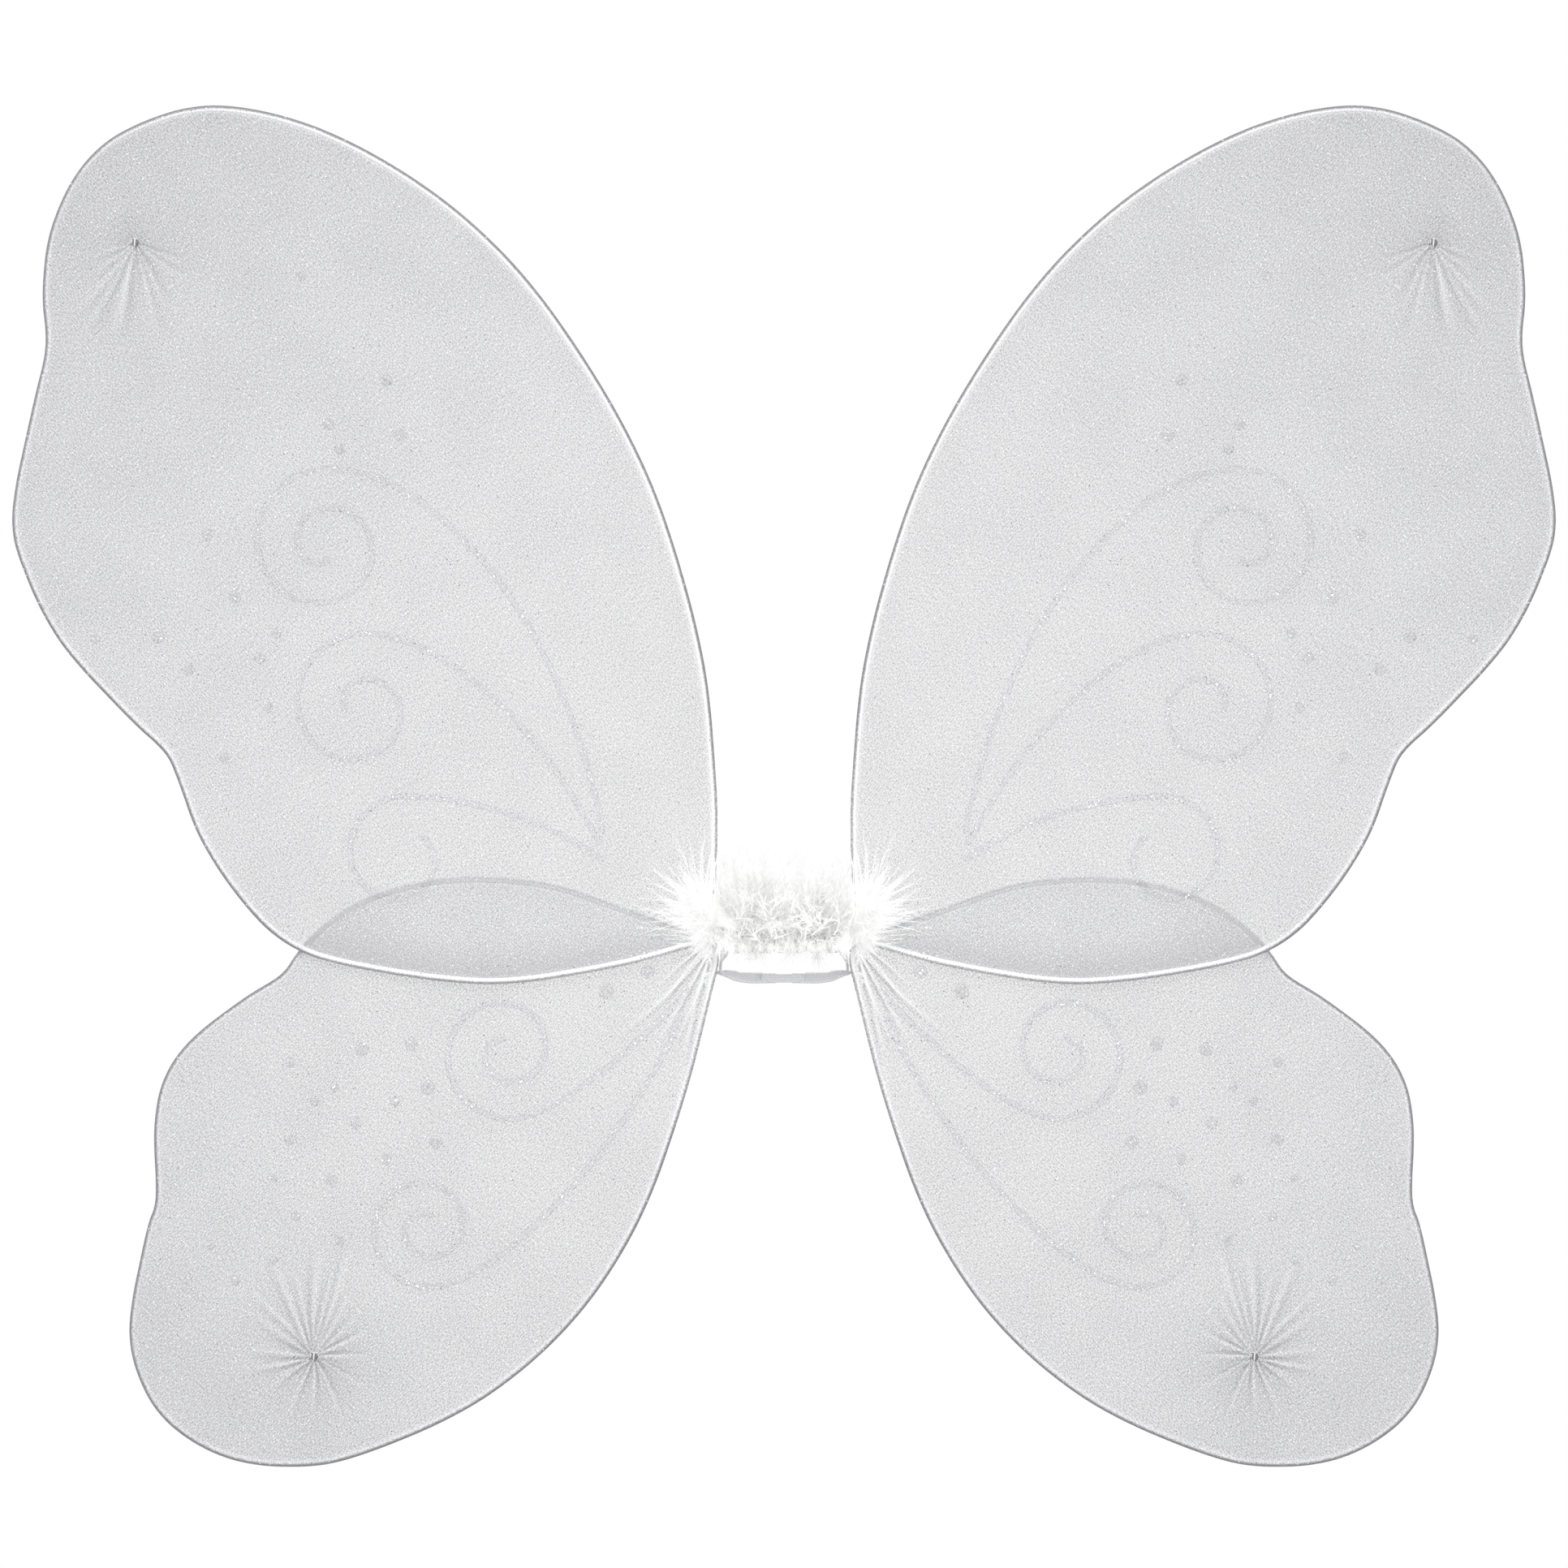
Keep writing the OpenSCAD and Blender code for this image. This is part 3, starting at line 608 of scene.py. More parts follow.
def makeWing(side, level, seed):
    node = f"{side}_{level}_sleeve"
    body = f"{side}_{level}_wing"
    low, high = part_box(node)
    midY, half = (low.y + high.y) / 2, (high.y - low.y) / 2
    flip = 1 if side == "left" else -1
    outline = cutOutline(node) * (flip, 1)  # worked on the left, then turned over for the right
    fold = joints["left_fold"]["pos_m"]
    root = np.array([fold[0], fold[2]])
    first, last, cut = (np.array(rootEnds[level][k]) * mm for k in ("first", "last", "cut"))
    outline = outline[np.hypot(*(outline - root).T) > cut]
    outline = np.concatenate([first, outline, last])
    edge = smoothPath(outline, wing["edgeStep"])
    out = sideways(edge)
    count = len(edge)
    tieLow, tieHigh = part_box(f"{side}_{level}_tie")
    tie = np.array([(tieLow.x + tieHigh.x) / 2 * flip, (tieLow.z + tieHigh.z) / 2])

    # rows round the wire, from the outermost line to the flat of the cloth
    angles = np.linspace(0, math.pi / 2, wing["edgeTurns"])
    rim = edge - out * half
    treeOfRim = pathTree(rim)
    # rows close inside the wire, then rings round the gathers, then an even grid
    clearOf = wing["insideRows"][-1] + 0.9 * mm
    spots = [keepInside(rim - out * inset, rim, inset * 0.92, treeOfRim) for inset in wing["insideRows"]]
    spots += [keepInside(ringPoints(tie, pleats[level]["tie"], 1.07), rim, clearOf, treeOfRim),
              keepInside(ringPoints(root, pleats[level]["root"], 1.075), rim, clearOf, treeOfRim)]
    step = wing["gridStep"]
    gx, gz = np.meshgrid(np.arange(rim[:, 0].min(), rim[:, 0].max(), step),
                         np.arange(rim[:, 1].min(), rim[:, 1].max(), step * 0.87))
    gx = gx + (np.arange(gz.shape[0]) % 2)[:, None] * step / 2
    grid = np.stack([gx.ravel(), gz.ravel()], 1)
    for focus, key in ((tie, "tie"), (root, "root")):
        away = np.hypot(*(grid - focus).T)
        grid = grid[away > pleats[level][key]["reach"] * mm + step * 0.4]
    spots.append(keepInside(grid, rim, step * 0.45, treeOfRim))
    inner = np.concatenate(spots)
    flat = [Vector((p[0], p[1])) for p in np.concatenate([rim, inner])]
    rimLoop = list(range(count))
    if signedArea(rim) < 0:
        rimLoop.reverse()
    made = geometry.delaunay_2d_cdt(flat, [], [rimLoop], 1, 1e-6, True)
    points2d = np.array([(v.x, v.y) for v in made[0]])
    corners = np.array([tuple(f) for f in made[2]])
    faces = [tuple(f) for f in corners[insideOf(points2d[corners].mean(1), rim)]]
    newIndex = {old: new for new, olds in enumerate(made[3]) for old in olds}

    # heights: both layers lie a wire's thickness apart and come together at the tie and the root
    nearest, away = nearestOn(treeOfRim, points2d)
    hold = eased(away / wing["flatFrom"])
    tieHeight, tieStreak, tieDraw = pleatField(points2d, tie, pleats[level]["tie"], seed)
    rootHeight, rootStreak, rootDraw = pleatField(points2d, root, pleats[level]["root"], seed + 1)
    pulled = tieDraw * pleats[level]["tie"]["pull"] + rootDraw * pleats[level]["root"]["pull"]
    pulled = np.clip(pulled, 0, 0.9)
    often = wing["swellOften"]
    swell = np.array([noise.noise(Vector((p[0] * often, p[1] * often, seed))) for p in points2d])
    ridge = (tieHeight * pleats[level]["tie"]["height"]
             + rootHeight * pleats[level]["root"]["height"]) * mm * hold
    lift = half * (1 - pulled) + ridge * 0.6 + swell * wing["swell"] * mm * hold
    reachAll = np.hypot(*(points2d - root).T)
    far = np.clip(reachAll / reachAll.max(), 0, 1)
    # the cloth is closest knit at the far end, where the sleeve was least stretched
    # densityAndLight is the cloth's density with painted shade and highlights added below
    densityAndLight = wing["tipDense"][level] * far ** 1.7 - wing["rootThin"]
    # gathered cloth near the tie is denser; the streaks along the pleats are painted light and shade, lighter
    # on each crest and darker beside it
    densityAndLight += pleats[level]["tie"]["dark"] * tieDraw - pleats[level]["tie"]["streak"] * tieStreak
    densityAndLight += pleats[level]["root"]["dark"] * rootDraw - pleats[level]["root"]["streak"] * rootStreak
    # painted highlight: the cloth over the white wire is made lighter and thinner, strongest where the wire
    # faces brightSide
    facing = np.clip(out[nearest] @ np.array(wing["brightSide"]), 0, 1)
    shine = wing["wireBright"][level] * (0.3 + 0.7 * facing)
    other = cutOutline(f"{side}_{'lower' if level == 'upper' else 'upper'}_sleeve") * (flip, 1)
    crossed = insideOf(points2d, other)
    shine = np.where(crossed & (level == "upper"), wing["crossBright"], shine)
    densityAndLight -= shine * np.clip(1 - away / wing["insideRows"][-1], 0, 1)
    # where the two wings lie over each other the rim's painted shade is weaker, and the hind one's rim hardly
    # shows
    rimDensityAndShade = wing["rimDark"] * np.ones(count)
    crossing = insideOf(edge, other) & (edge[:, 1] < wing["crossBelow"])
    soft = np.convolve(np.pad(crossing.astype(float), 3, "edge"), np.ones(7) / 7, "valid")
    rimDensityAndShade += (wing["crossRim"][level] - wing["rimDark"]) * soft
    rimDensityAndShade *= 0.25 + 0.75 * np.clip(np.hypot(*(edge - root).T) / wing["rimFade"] - 0.3, 0, 1)
    if level == "lower":
        # the hind wing's painted lightening is painted for the wings at rest: it doesn't follow them as they
        # spread
        frontTree = pathTree(smoothPath(other, 1.5 * mm))
        under = nearestOn(frontTree, points2d)[1] * np.where(crossed, 1, -1)
        start, full = wing["hindFade"]
        densityAndLight -= wing["hindLightening"] * eased((under - start) / (full - start))

    # front layer, back layer, then the rows between them round the wire
    n = len(points2d)
    verts = [(p[0], midY - h, p[1]) for p, h in zip(points2d, lift)]
    verts += [(p[0], midY + h, p[1]) for p, h in zip(points2d, lift)]
    clothDensityAndLight = list(densityAndLight) * 2
    polys = faces + [tuple(n + i for i in reversed(f)) for f in faces]
    rimIndex = [newIndex[i] for i in range(count)]
    rows = [[n + i for i in rimIndex]]
    for row in range(wing["edgeTurns"] - 2, -wing["edgeTurns"] + 1, -1):
        a = angles[abs(row)] * (1 if row >= 0 else -1)
        start = len(verts)
        inset = half * (1 - math.cos(a))
        shape = half * math.sin(a)
        for i in range(count):
            p = edge[i] - out[i] * inset
            verts.append((p[0], midY + shape * (lift[rimIndex[i]] / half), p[1]))
            clothDensityAndLight.append(rimDensityAndShade[i] * min(1.0, 1.25 * math.cos(a)))
        rows.append(list(range(start, start + count)))
    rows.append(rimIndex)
    for upper, lowerRow in zip(rows[:-1], rows[1:]):
        for i in range(count - 1):
            polys.append((upper[i], lowerRow[i], lowerRow[i + 1], upper[i + 1]))
    verts = np.array(verts) * (flip, 1, 1)
    cloth = makeMesh(f"{side}{level.title()}Sleeve", verts, polys, nylon)
    fixNormals(cloth, midY)
    setAttribute(cloth, "clothDensityAndLight", clothDensityAndLight)
    tip = tie - root
    alongWing = tip / np.hypot(*tip)
    acrossWing = np.array([-alongWing[1], alongWing[0]])
    knit = cloth.data.uv_layers.new(name="knit")
    co = np.array(verts)[:, [0, 2]] * (flip, 1) - root
    uv = np.stack([co @ alongWing + 0.01 * seed, co @ acrossWing], 1)
    loops = np.empty(len(cloth.data.loops), np.int32)
    cloth.data.loops.foreach_get("vertex_index", loops)
    knit.data.foreach_set("uv", uv[loops].astype(np.float32).ravel())
    place(cloth, body, "nylon", node)
    makeWire(side, level, edge - out * half, out, midY, half - wing["clothGap"])
    return cloth


def makeWire(side, level, middle, out, midY, radius):
    flip = 1 if side == "left" else -1
    sides = wing["wireSides"]
    points = []
    for centre, outwards in zip(middle, out):
        for k in range(sides):
            a = 2 * math.pi * k / sides
            p = centre + outwards * radius * math.cos(a)
            points.append((p[0] * flip, midY + radius * math.sin(a), p[1]))
    wire = makeMesh(f"{side}{level.title()}Wire", points, tubeFaces(len(middle), sides), wireCoat)
    fixNormals(wire)
    place(wire, f"{side}_{level}_wing", "coated_wire", f"{side}_{level}_wire")


def fixNormals(obj, midY=None):
    work = bmesh.new()
    work.from_mesh(obj.data)
    bmesh.ops.recalc_face_normals(work, faces=work.faces)
    if midY is not None:
        front = [f for f in work.faces if f.calc_center_median().y < midY - 0.5 * mm]
        if sum(f.normal.y for f in front) > 0:
            bmesh.ops.reverse_faces(work, faces=work.faces)
    work.to_mesh(obj.data)
    work.free()


for side, level in wingNames:
    seed = 11 if level == "upper" else 23
    made = makeWing(side, level, seed)
    print(f"{made.name}: {len(made.data.polygons)} faces")


# glitter glue

# sink is how far the glue reaches into the face of the cloth
glueLine = {"width": 2.4 * mm, "height": 0.4 * mm, "across": 7, "step": 0.9 * mm, "wander": 0.22,
            "sink": 0.02 * mm}
glueDot = {"height": 0.45 * mm, "uneven": (0.85, 1.1), "segments": 14, "rings": 8}
# centre, inner and outer radius, first and last angle, the tail's three points: u outwards, v up, in mm
swirls = {
    "upper": [((142.5, 142), 5, 28, -120, 450, (108, 172), (58, 124), (41, 37)),
              ((129.5, 83), 5, 27, -20, 450, (105, 111), (70, 86), (42, 33)),
              ((114.5, 29), 10, 22, 130, 450, (95, 51), (62, 44), (41, 27))],
    "lower": [((76.5, -42), 4, 24.5, 90, -450, (56, -66.5), (26, -36), (9, -19)),
              ((105.5, -106), 4, 21.5, 120, -440, (84, -133), (36, -80), (12, -29))],
}


def swirlPath(shape):
    centre, inner, outer, first, last, b, c, d = shape
    centre, b, c, d = (np.array(p, float) for p in (centre, b, c, d))
    t = np.linspace(0, 1, 80)
    a = np.radians(first + (last - first) * t)
    r = inner + (outer - inner) * t
    curl = centre + np.stack([r * np.cos(a), r * np.sin(a)], 1)
    s = np.linspace(0, 1, 40)[1:, None]
    tail = (1 - s) ** 3 * curl[-1] + 3 * s * (1 - s) ** 2 * b + 3 * s * s * (1 - s) * c + s ** 3 * d
    return smoothPath(np.concatenate([curl, tail]) * mm, glueLine["step"])


def drawSwirls(side, level):
    flip = -1 if side == "left" else 1
    node = f"{side}_{level}_swirls"
    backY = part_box(node)[1].y
    fold = joints[f"{side}_fold"]["pos_m"]
    rng = np.random.default_rng(5 if level == "upper" else 6)
    points, faces = [], []
    across = glueLine["across"]
    for shape in swirls[level]:
        path = swirlPath(shape)
        normal = sideways(path)
        n = len(path)
        wobble = np.convolve(rng.uniform(-1, 1, n + 8), np.ones(5) / 5, "same")[4:-4]
        start = len(points)
        for i in range(n):
            ends = min(1.0, (i + 0.6) / 3, (n - i - 0.4) / 3)
            width = glueLine["width"] / 2 * (1 + glueLine["wander"] * wobble[i]) * math.sqrt(ends)
            tall = glueLine["height"] * (1 + 0.5 * wobble[i]) * ends
            for k in range(across):
                a = math.pi * k / (across - 1)
                p = path[i] + normal[i] * width * math.cos(a)
                points.append((fold[0] + flip * p[0], backY + glueLine["sink"] - tall * math.sin(a),
                               fold[2] + p[1]))
        faces += tubeFaces(n, across, start)
    lines = makeMesh(f"{side}{level.title()}GlueSwirls", points, faces, glueLines)
    fixNormals(lines)
    place(lines, f"{side}_{level}_wing", "glitter", node)


def makeDots(side, level):
    node = f"{side}_{level}_dots"
    work = bmesh.new()
    work.from_mesh(frame["nodes"][node].data)
    bmesh.ops.remove_doubles(work, verts=work.verts, dist=1e-6)
    left = set(work.verts)
    rng = np.random.default_rng(9)
    drops = []
    while left:
        stack, island = [left.pop()], []
        while stack:
            v = stack.pop()
            island.append(v.co.copy())
            for e in v.link_edges:
                other = e.other_vert(v)
                if other in left:
                    left.remove(other)
                    stack.append(other)
        co = np.array(island)
        drops.append((co.min(0), co.max(0)))
    work.free()
    # counted outwards on both sides, so that the two sides match
    drops.sort(key=lambda d: tuple(np.round(d[0], 5)) if side == "right"
               else tuple(np.round((-d[1][0], 0, d[0][2]), 5)))
    parts = []
    for lowest, highest in drops:
        centre = (lowest + highest) / 2
        radius = (highest[0] - lowest[0]) / 2
        bpy.ops.mesh.primitive_uv_sphere_add(
            segments=glueDot["segments"], ring_count=glueDot["rings"], radius=radius,
            location=(centre[0], highest[1], centre[2]),
            scale=(rng.uniform(*glueDot["uneven"]), glueDot["height"] / radius,
                   rng.uniform(*glueDot["uneven"])))
        dot = bpy.context.object
        applyPlace(dot)
        bpy.ops.object.mode_set(mode="EDIT")
        bpy.ops.mesh.select_all(action="SELECT")
        bpy.ops.mesh.bisect(plane_co=(0, highest[1] + glueLine["sink"], 0), plane_no=(0, 1, 0),
                            use_fill=True, clear_outer=True)
        bpy.ops.object.mode_set(mode="OBJECT")
        parts.append(dot)
    dots = joinAll(parts, f"{side}{level.title()}GlueDots", glueDrops)
    dots.data.validate()
    softShade(dots)
    place(dots, f"{side}_{level}_wing", "glitter", node)


for side, level in wingNames:
    drawSwirls(side, level)
    makeDots(side, level)
print("glitter glue drawn")


# gather ties

tieThread = {"turns": 3, "strand": 0.28 * mm, "endLength": 4 * mm, "endAway": 2.6 * mm, "nub": 1.5 * mm}


def makeTie(side, level):
    node = f"{side}_{level}_tie"
    low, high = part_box(node)
    x, z, clothY = (low.x + high.x) / 2, (low.z + high.z) / 2, high.y
    ringR = (high.x - low.x) / 2
    strand, endAway = tieThread["strand"], tieThread["endAway"]
    parts = []
    for k in range(tieThread["turns"]):
        bpy.ops.mesh.primitive_torus_add(
            major_segments=36, minor_segments=8, major_radius=ringR - strand - 0.12 * mm * (k % 2),
            minor_radius=strand, location=(x, clothY + 0.25 * mm - k * strand * 1.6, z),
            rotation=(math.pi / 2 + 0.09 * (k - 1), 0, 0.8 * k))
        parts.append(bpy.context.object)
    # two cut ends of the thread
    for k, lean in enumerate((0.5, -0.9)):
        bpy.ops.mesh.primitive_cylinder_add(
            vertices=8, radius=strand * 0.8, depth=tieThread["endLength"], end_fill_type="NGON",
            location=(x + endAway * math.sin(lean), clothY - 0.3 * mm, z - endAway * math.cos(lean)),
            rotation=(0, -lean, 0))
        parts.append(bpy.context.object)
    ringPiece = joinAll(parts, f"{side}{level.title()}TieThread", thread)
    softShade(ringPiece)
    place(ringPiece, f"{side}_{level}_wing", "thread", node)
    # the gathered nylon that stands through the ring
    bpy.ops.mesh.primitive_uv_sphere_add(
        segments=40, ring_count=16, radius=tieThread["nub"], location=(0, 0, 0))
    nub = bpy.context.object
    takeUp(nub)
    for v in nub.data.vertices:
        a = math.atan2(v.co.z, v.co.x)
        flatness = 1 - abs(v.co.y) / tieThread["nub"]
        crease = 1 + 0.22 * math.sin(9 * a + 1.3) * flatness + 0.1 * math.sin(4 * a)
        v.co.x *= crease
        v.co.z *= crease
        v.co.y *= 0.8
        v.co += Vector((x, clothY - 0.7 * mm, z))
    nub.name = nub.data.name = f"{side}{level.title()}TieNub"
    nub.data.materials.append(nylon)
    setAttribute(nub, "clothDensityAndLight", [0.5] * len(nub.data.vertices))
    nub.data.uv_layers[0].name = "knit"
    bpy.ops.object.shade_smooth()
    place(nub, f"{side}_{level}_wing", "nylon")


for side, level in wingNames:
    makeTie(side, level)
print("ties bound")


# a few snagged threads stand off the outer edge of each upper wing: for each the centre's x and z in mm,
# its radius, and the angle where it starts and how far it sweeps
snags = {
    "thick": 0.16 * mm, "points": 12,
    "front": -9.9, "drift": 0.12,  # y of the first point and how far forward each next one moves, in mm
    "curls": [(268.5, 121, 5.0, 150, 110), (270.5, 114, 3.2, 200, -130), (266.0, 108, 4.2, 120, 90)],
}


def makeSnags(side):
    flip = -1 if side == "left" else 1
    parts = []
    last = snags["points"] - 1
    for x, z, r, start, sweep in snags["curls"]:
        curve = bpy.data.curves.new("snag", "CURVE")
        curve.dimensions = "3D"
        curve.bevel_depth = snags["thick"]
        curve.bevel_resolution = 1
        spline = curve.splines.new("POLY")
        spline.points.add(last)
        for k in range(last + 1):
            a = math.radians(start + sweep * k / last)
            spline.points[k].co = (flip * (x + r * math.cos(a)) * mm,
                                   (snags["front"] - snags["drift"] * k) * mm,
                                   (z + r * math.sin(a)) * mm, 1)
        snag = bpy.data.objects.new("snag", curve)
        bpy.context.scene.collection.objects.link(snag)
        takeUp(snag)
        bpy.ops.object.convert(target="MESH")
        parts.append(bpy.context.object)
    whole = joinAll(parts, f"{side}SnaggedThreads", thread)
    place(whole, f"{side}_upper_wing", "thread")


for side in sideNames:
    makeSnags(side)


# root bindings, tape and pad

binding = {"strand": 0.33 * mm, "sides": 8}


def makeBinding(side):
    node = f"{side}_root_binding"
    low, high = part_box(node)
    centre = (low + high) / 2
    radius = (high.x - low.x) / 2
    r = binding["strand"]
    turns = int((high.z - low.z) / (2 * r))
    rng = np.random.default_rng(31)
    parts = []
    for k in range(turns):
        bpy.ops.mesh.primitive_torus_add(
            major_segments=40, minor_segments=binding["sides"],
            major_radius=radius - r - rng.uniform(0, 0.15) * mm, minor_radius=r * 1.06,
            location=(centre.x, centre.y, low.z + r + k * 2 * r),
            rotation=(rng.uniform(-0.03, 0.03), rng.uniform(-0.03, 0.03), 0))
        parts.append(bpy.context.object)
    bpy.ops.mesh.primitive_cylinder_add(
        vertices=32, radius=radius - 1.6 * r, depth=high.z - low.z - 0.2 * mm, location=centre)
    parts.append(bpy.context.object)
    whole = joinAll(parts, f"{side}RootBinding", thread)
    softShade(whole, 0.8)
    place(whole, f"{side}_root", "thread", node)


for side in sideNames:
    makeBinding(side)


tapeTurns = {"turns": 7, "lap": 1.02, "sunk": 0.12 * mm, "corner": 1.6 * mm, "slant": 0.18, "swell": 0.03}


def makeTapeWrap():
    low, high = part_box("tape_wrap")
    centre = (low + high) / 2
    size = high - low
    wide = size.x / tapeTurns["turns"]
    parts = []
    for k in range(tapeTurns["turns"]):
        x = low.x + wide * (k + 0.5)
        bpy.ops.mesh.primitive_cube_add(size=1, location=(x, centre.y, centre.z))
        turn = bpy.context.object
        sunk = tapeTurns["sunk"] * (k % 2)
        turn.scale = (wide * tapeTurns["lap"], size.y - sunk, size.z - sunk)
        applyPlace(turn)
        roundEdges(turn, lambda a, b: abs(a.x - b.x) > wide * 0.5, tapeTurns["corner"], 5)
        # each turn lies a little over the one before it
        for v in turn.data.vertices:
            t = (v.co.x - low.x) / size.x
            v.co.x += (v.co.z - centre.z) * tapeTurns["slant"] * (0.3 < t < 0.99)
            v.co.y += (v.co.y - centre.y) * tapeTurns["swell"] * ((v.co.x - x) / wide)
        parts.append(turn)
    whole = joinAll(parts, "tapeWrap", tape)
    softShade(whole, 0.6)
    place(whole, "core", "tape", "tape_wrap")


# stitches are this far apart, this long, this far in from the edge, and start this far from a corner
padSewing = {"corner": 3 * mm, "softEdge": 0.5 * mm, "pitch": 3.2 * mm, "long": 1.8 * mm, "in": 0.4 * mm,
             "start": 3.4 * mm, "thick": 0.22 * mm}


def makePad():
    low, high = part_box("back_pad")
    size = high - low
    bpy.ops.mesh.primitive_cube_add(size=1, location=(low + high) / 2)
    pad = bpy.context.object
    pad.scale = (size.x, size.y, size.z)
    applyPlace(pad)
    roundEdges(pad, lambda a, b: abs(a.y - b.y) > size.y * 0.5, padSewing["corner"], 8)
    soften = pad.modifiers.new("softEdge", "BEVEL")
    soften.width = padSewing["softEdge"]
    soften.segments = 3
    bpy.ops.object.modifier_apply(modifier="softEdge")
    pad.name = pad.data.name = "backPad"
    pad.data.materials.append(felt)
    bpy.ops.object.shade_smooth_by_angle(angle=0.7)
    place(pad, "core", "felt", "back_pad")
    # blanket stitches round the pad
    parts = []
    pitch, inset, start = padSewing["pitch"], padSewing["long"], padSewing["start"]
    halfX, halfZ = size.x / 2 - padSewing["in"], size.z / 2 - padSewing["in"]
    spots = []
    for i in range(int((2 * halfX - 6 * mm) / pitch) + 1):
        x = -halfX + start + i * pitch
        spots += [(x, halfZ - inset / 2, 0.0), (x, -halfZ + inset / 2, 0.0)]
    for i in range(int((2 * halfZ - 6 * mm) / pitch) + 1):
        z = -halfZ + start + i * pitch
        spots += [(halfX - inset / 2, z, math.pi / 2), (-halfX + inset / 2, z, math.pi / 2)]
    for x, z, turn in spots:
        bpy.ops.mesh.primitive_uv_sphere_add(
            segments=10, ring_count=6, radius=1, location=(x, high.y, z),
            scale=(padSewing["thick"], padSewing["thick"], inset / 2), rotation=(0, turn, 0))
        parts.append(bpy.context.object)
    stitches = joinAll(parts, "padStitches", thread)
    softShade(stitches)
    place(stitches, "core", "thread")


makeTapeWrap()
makePad()
frame["nodes"]["wire_tails"].data.materials.clear()
frame["nodes"]["wire_tails"].data.materials.append(wireCoat)
print("core made")


# elastic

strap = {
    "width": 4.6 * mm, "thickness": 1.1 * mm, "ribs": 5, "step": 0.7 * mm,
    # x, z in mm and the lean of the width: the front run narrows to the eye as it twists away
    "front": [(5.6, -19.4, 45), (8.2, -19.4, 44), (11.5, -19.4, 42), (14.5, -19.2, 44),
              (17.5, -18.75, 50), (20.2, -17.9, 62), (22.0, -17.35, 78), (22.9, -17.1, 86)],
    # x, and how far behind the front run, in mm, as the loop goes back
    "behind": [(23.0, 3), (22.6, 7), (21.6, 20), (20.4, 45), (19.4, 75)],
    "loop": (9.4 * mm, 18.6 * mm), "loopZ": -19.2 * mm,  # the far end turns between these two x
}
bridge = {"half": 8.2 * mm, "seen": 3.1 * mm, "z": -19.4 * mm}


def bandMesh(name, path, upright, width, thickness):
    # a ribbed flat band: its path, the direction of its width at each point, its width and thickness
    ahead = unit(np.gradient(path, axis=0))
    up = unit(upright - (upright * ahead).sum(1)[:, None] * ahead)
    outwards = np.cross(ahead, up)
    steps = strap["ribs"] * 4
    section = []
    for k in range(steps + 1):
        t = k / steps * 2 - 1
        section.append((t, 1 - 0.35 * abs(math.cos(math.pi * strap["ribs"] * (t + 1) / 2)) - 0.25 * t ** 8))
    loop = [(t, h) for t, h in section] + [(t, -h) for t, h in reversed(section)]
    run = np.concatenate([[0], np.cumsum(np.linalg.norm(np.diff(path, axis=0), axis=1))])
    m = len(loop)
    points, uvs = [], []
    for i in range(len(path)):
        for k, (t, h) in enumerate(loop):
            points.append(path[i] + up[i] * t * width / 2 + outwards[i] * h * thickness / 2)
            uvs.append((run[i], k / m * 2 * width))
    band = makeMesh(name, points, tubeFaces(len(path), m), elastic)
    layer = band.data.uv_layers.new(name="braid")
    for corner in band.data.loops:
        layer.data[corner.index].uv = uvs[corner.vertex_index]
    fixNormals(band)
    return band


def leanUps(path, leans):
    # the width's direction along a path: upright, turned about the path by an angle in degrees
    ahead = unit(np.gradient(path, axis=0))
    up = unit(np.array([0, 0, 1.0]) - ahead[:, 2:3] * ahead)
    a = np.radians(leans)[:, None]
    return up * np.cos(a) + np.cross(ahead, up) * np.sin(a)


def makeStrap(side):
    flip = -1 if side == "left" else 1
    low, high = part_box(f"{side}_strap")
    bridgeLow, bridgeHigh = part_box("strap_bridge")
    frontY = (bridgeLow.y + bridgeHigh.y) / 2
    inner = min(abs(low.x), abs(high.x)) + strap["thickness"] / 2
    reach = high.y - strap["thickness"] / 2
    front = np.array(strap["front"])
    route = [(x * mm, frontY + 0.2 * mm * max(0, x - 20), z * mm, lean) for x, z, lean in front]
    for x, y in strap["behind"]:
        z, lean = (np.interp(x, front[:, 0], front[:, k]) for k in (1, 2))
        route.append((x * mm, frontY + y * mm, z * mm, max(lean, 70)))
    nearX, farX = strap["loop"]
    turnR = (farX - nearX) / 2
    for k in range(1, 10):
        a = math.pi * k / 10
        route.append((nearX + turnR + turnR * math.cos(a), reach - turnR + turnR * math.sin(a),
                      strap["loopZ"], 70))
    bandZ = bridge["z"]
    route += [(nearX, reach * 0.6, bandZ, 66), (inner, reach * 0.25, bandZ, 60), (inner, 6 * mm, bandZ, 50),
              (inner - 0.3 * mm, 2.8 * mm, bandZ, 46), (inner - 2.2 * mm, frontY + 1.6 * mm, bandZ, 45),
              (inner - 5.0 * mm, frontY + 1.4 * mm, bandZ, 45)]
    # lean goes along as a fourth number, scaled so that it hardly lengthens the path
    even = smoothPath(np.array([(flip * x, y, z, lean * 1e-7) for x, y, z, lean in route]), strap["step"])
    path = even[:, :3]
    band = bandMesh(f"{side}ArmLoop", path, leanUps(path, -flip * even[:, 3] * 1e7),
                    strap["width"], strap["thickness"])
    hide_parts(f"{side}_strap")
    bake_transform(band)


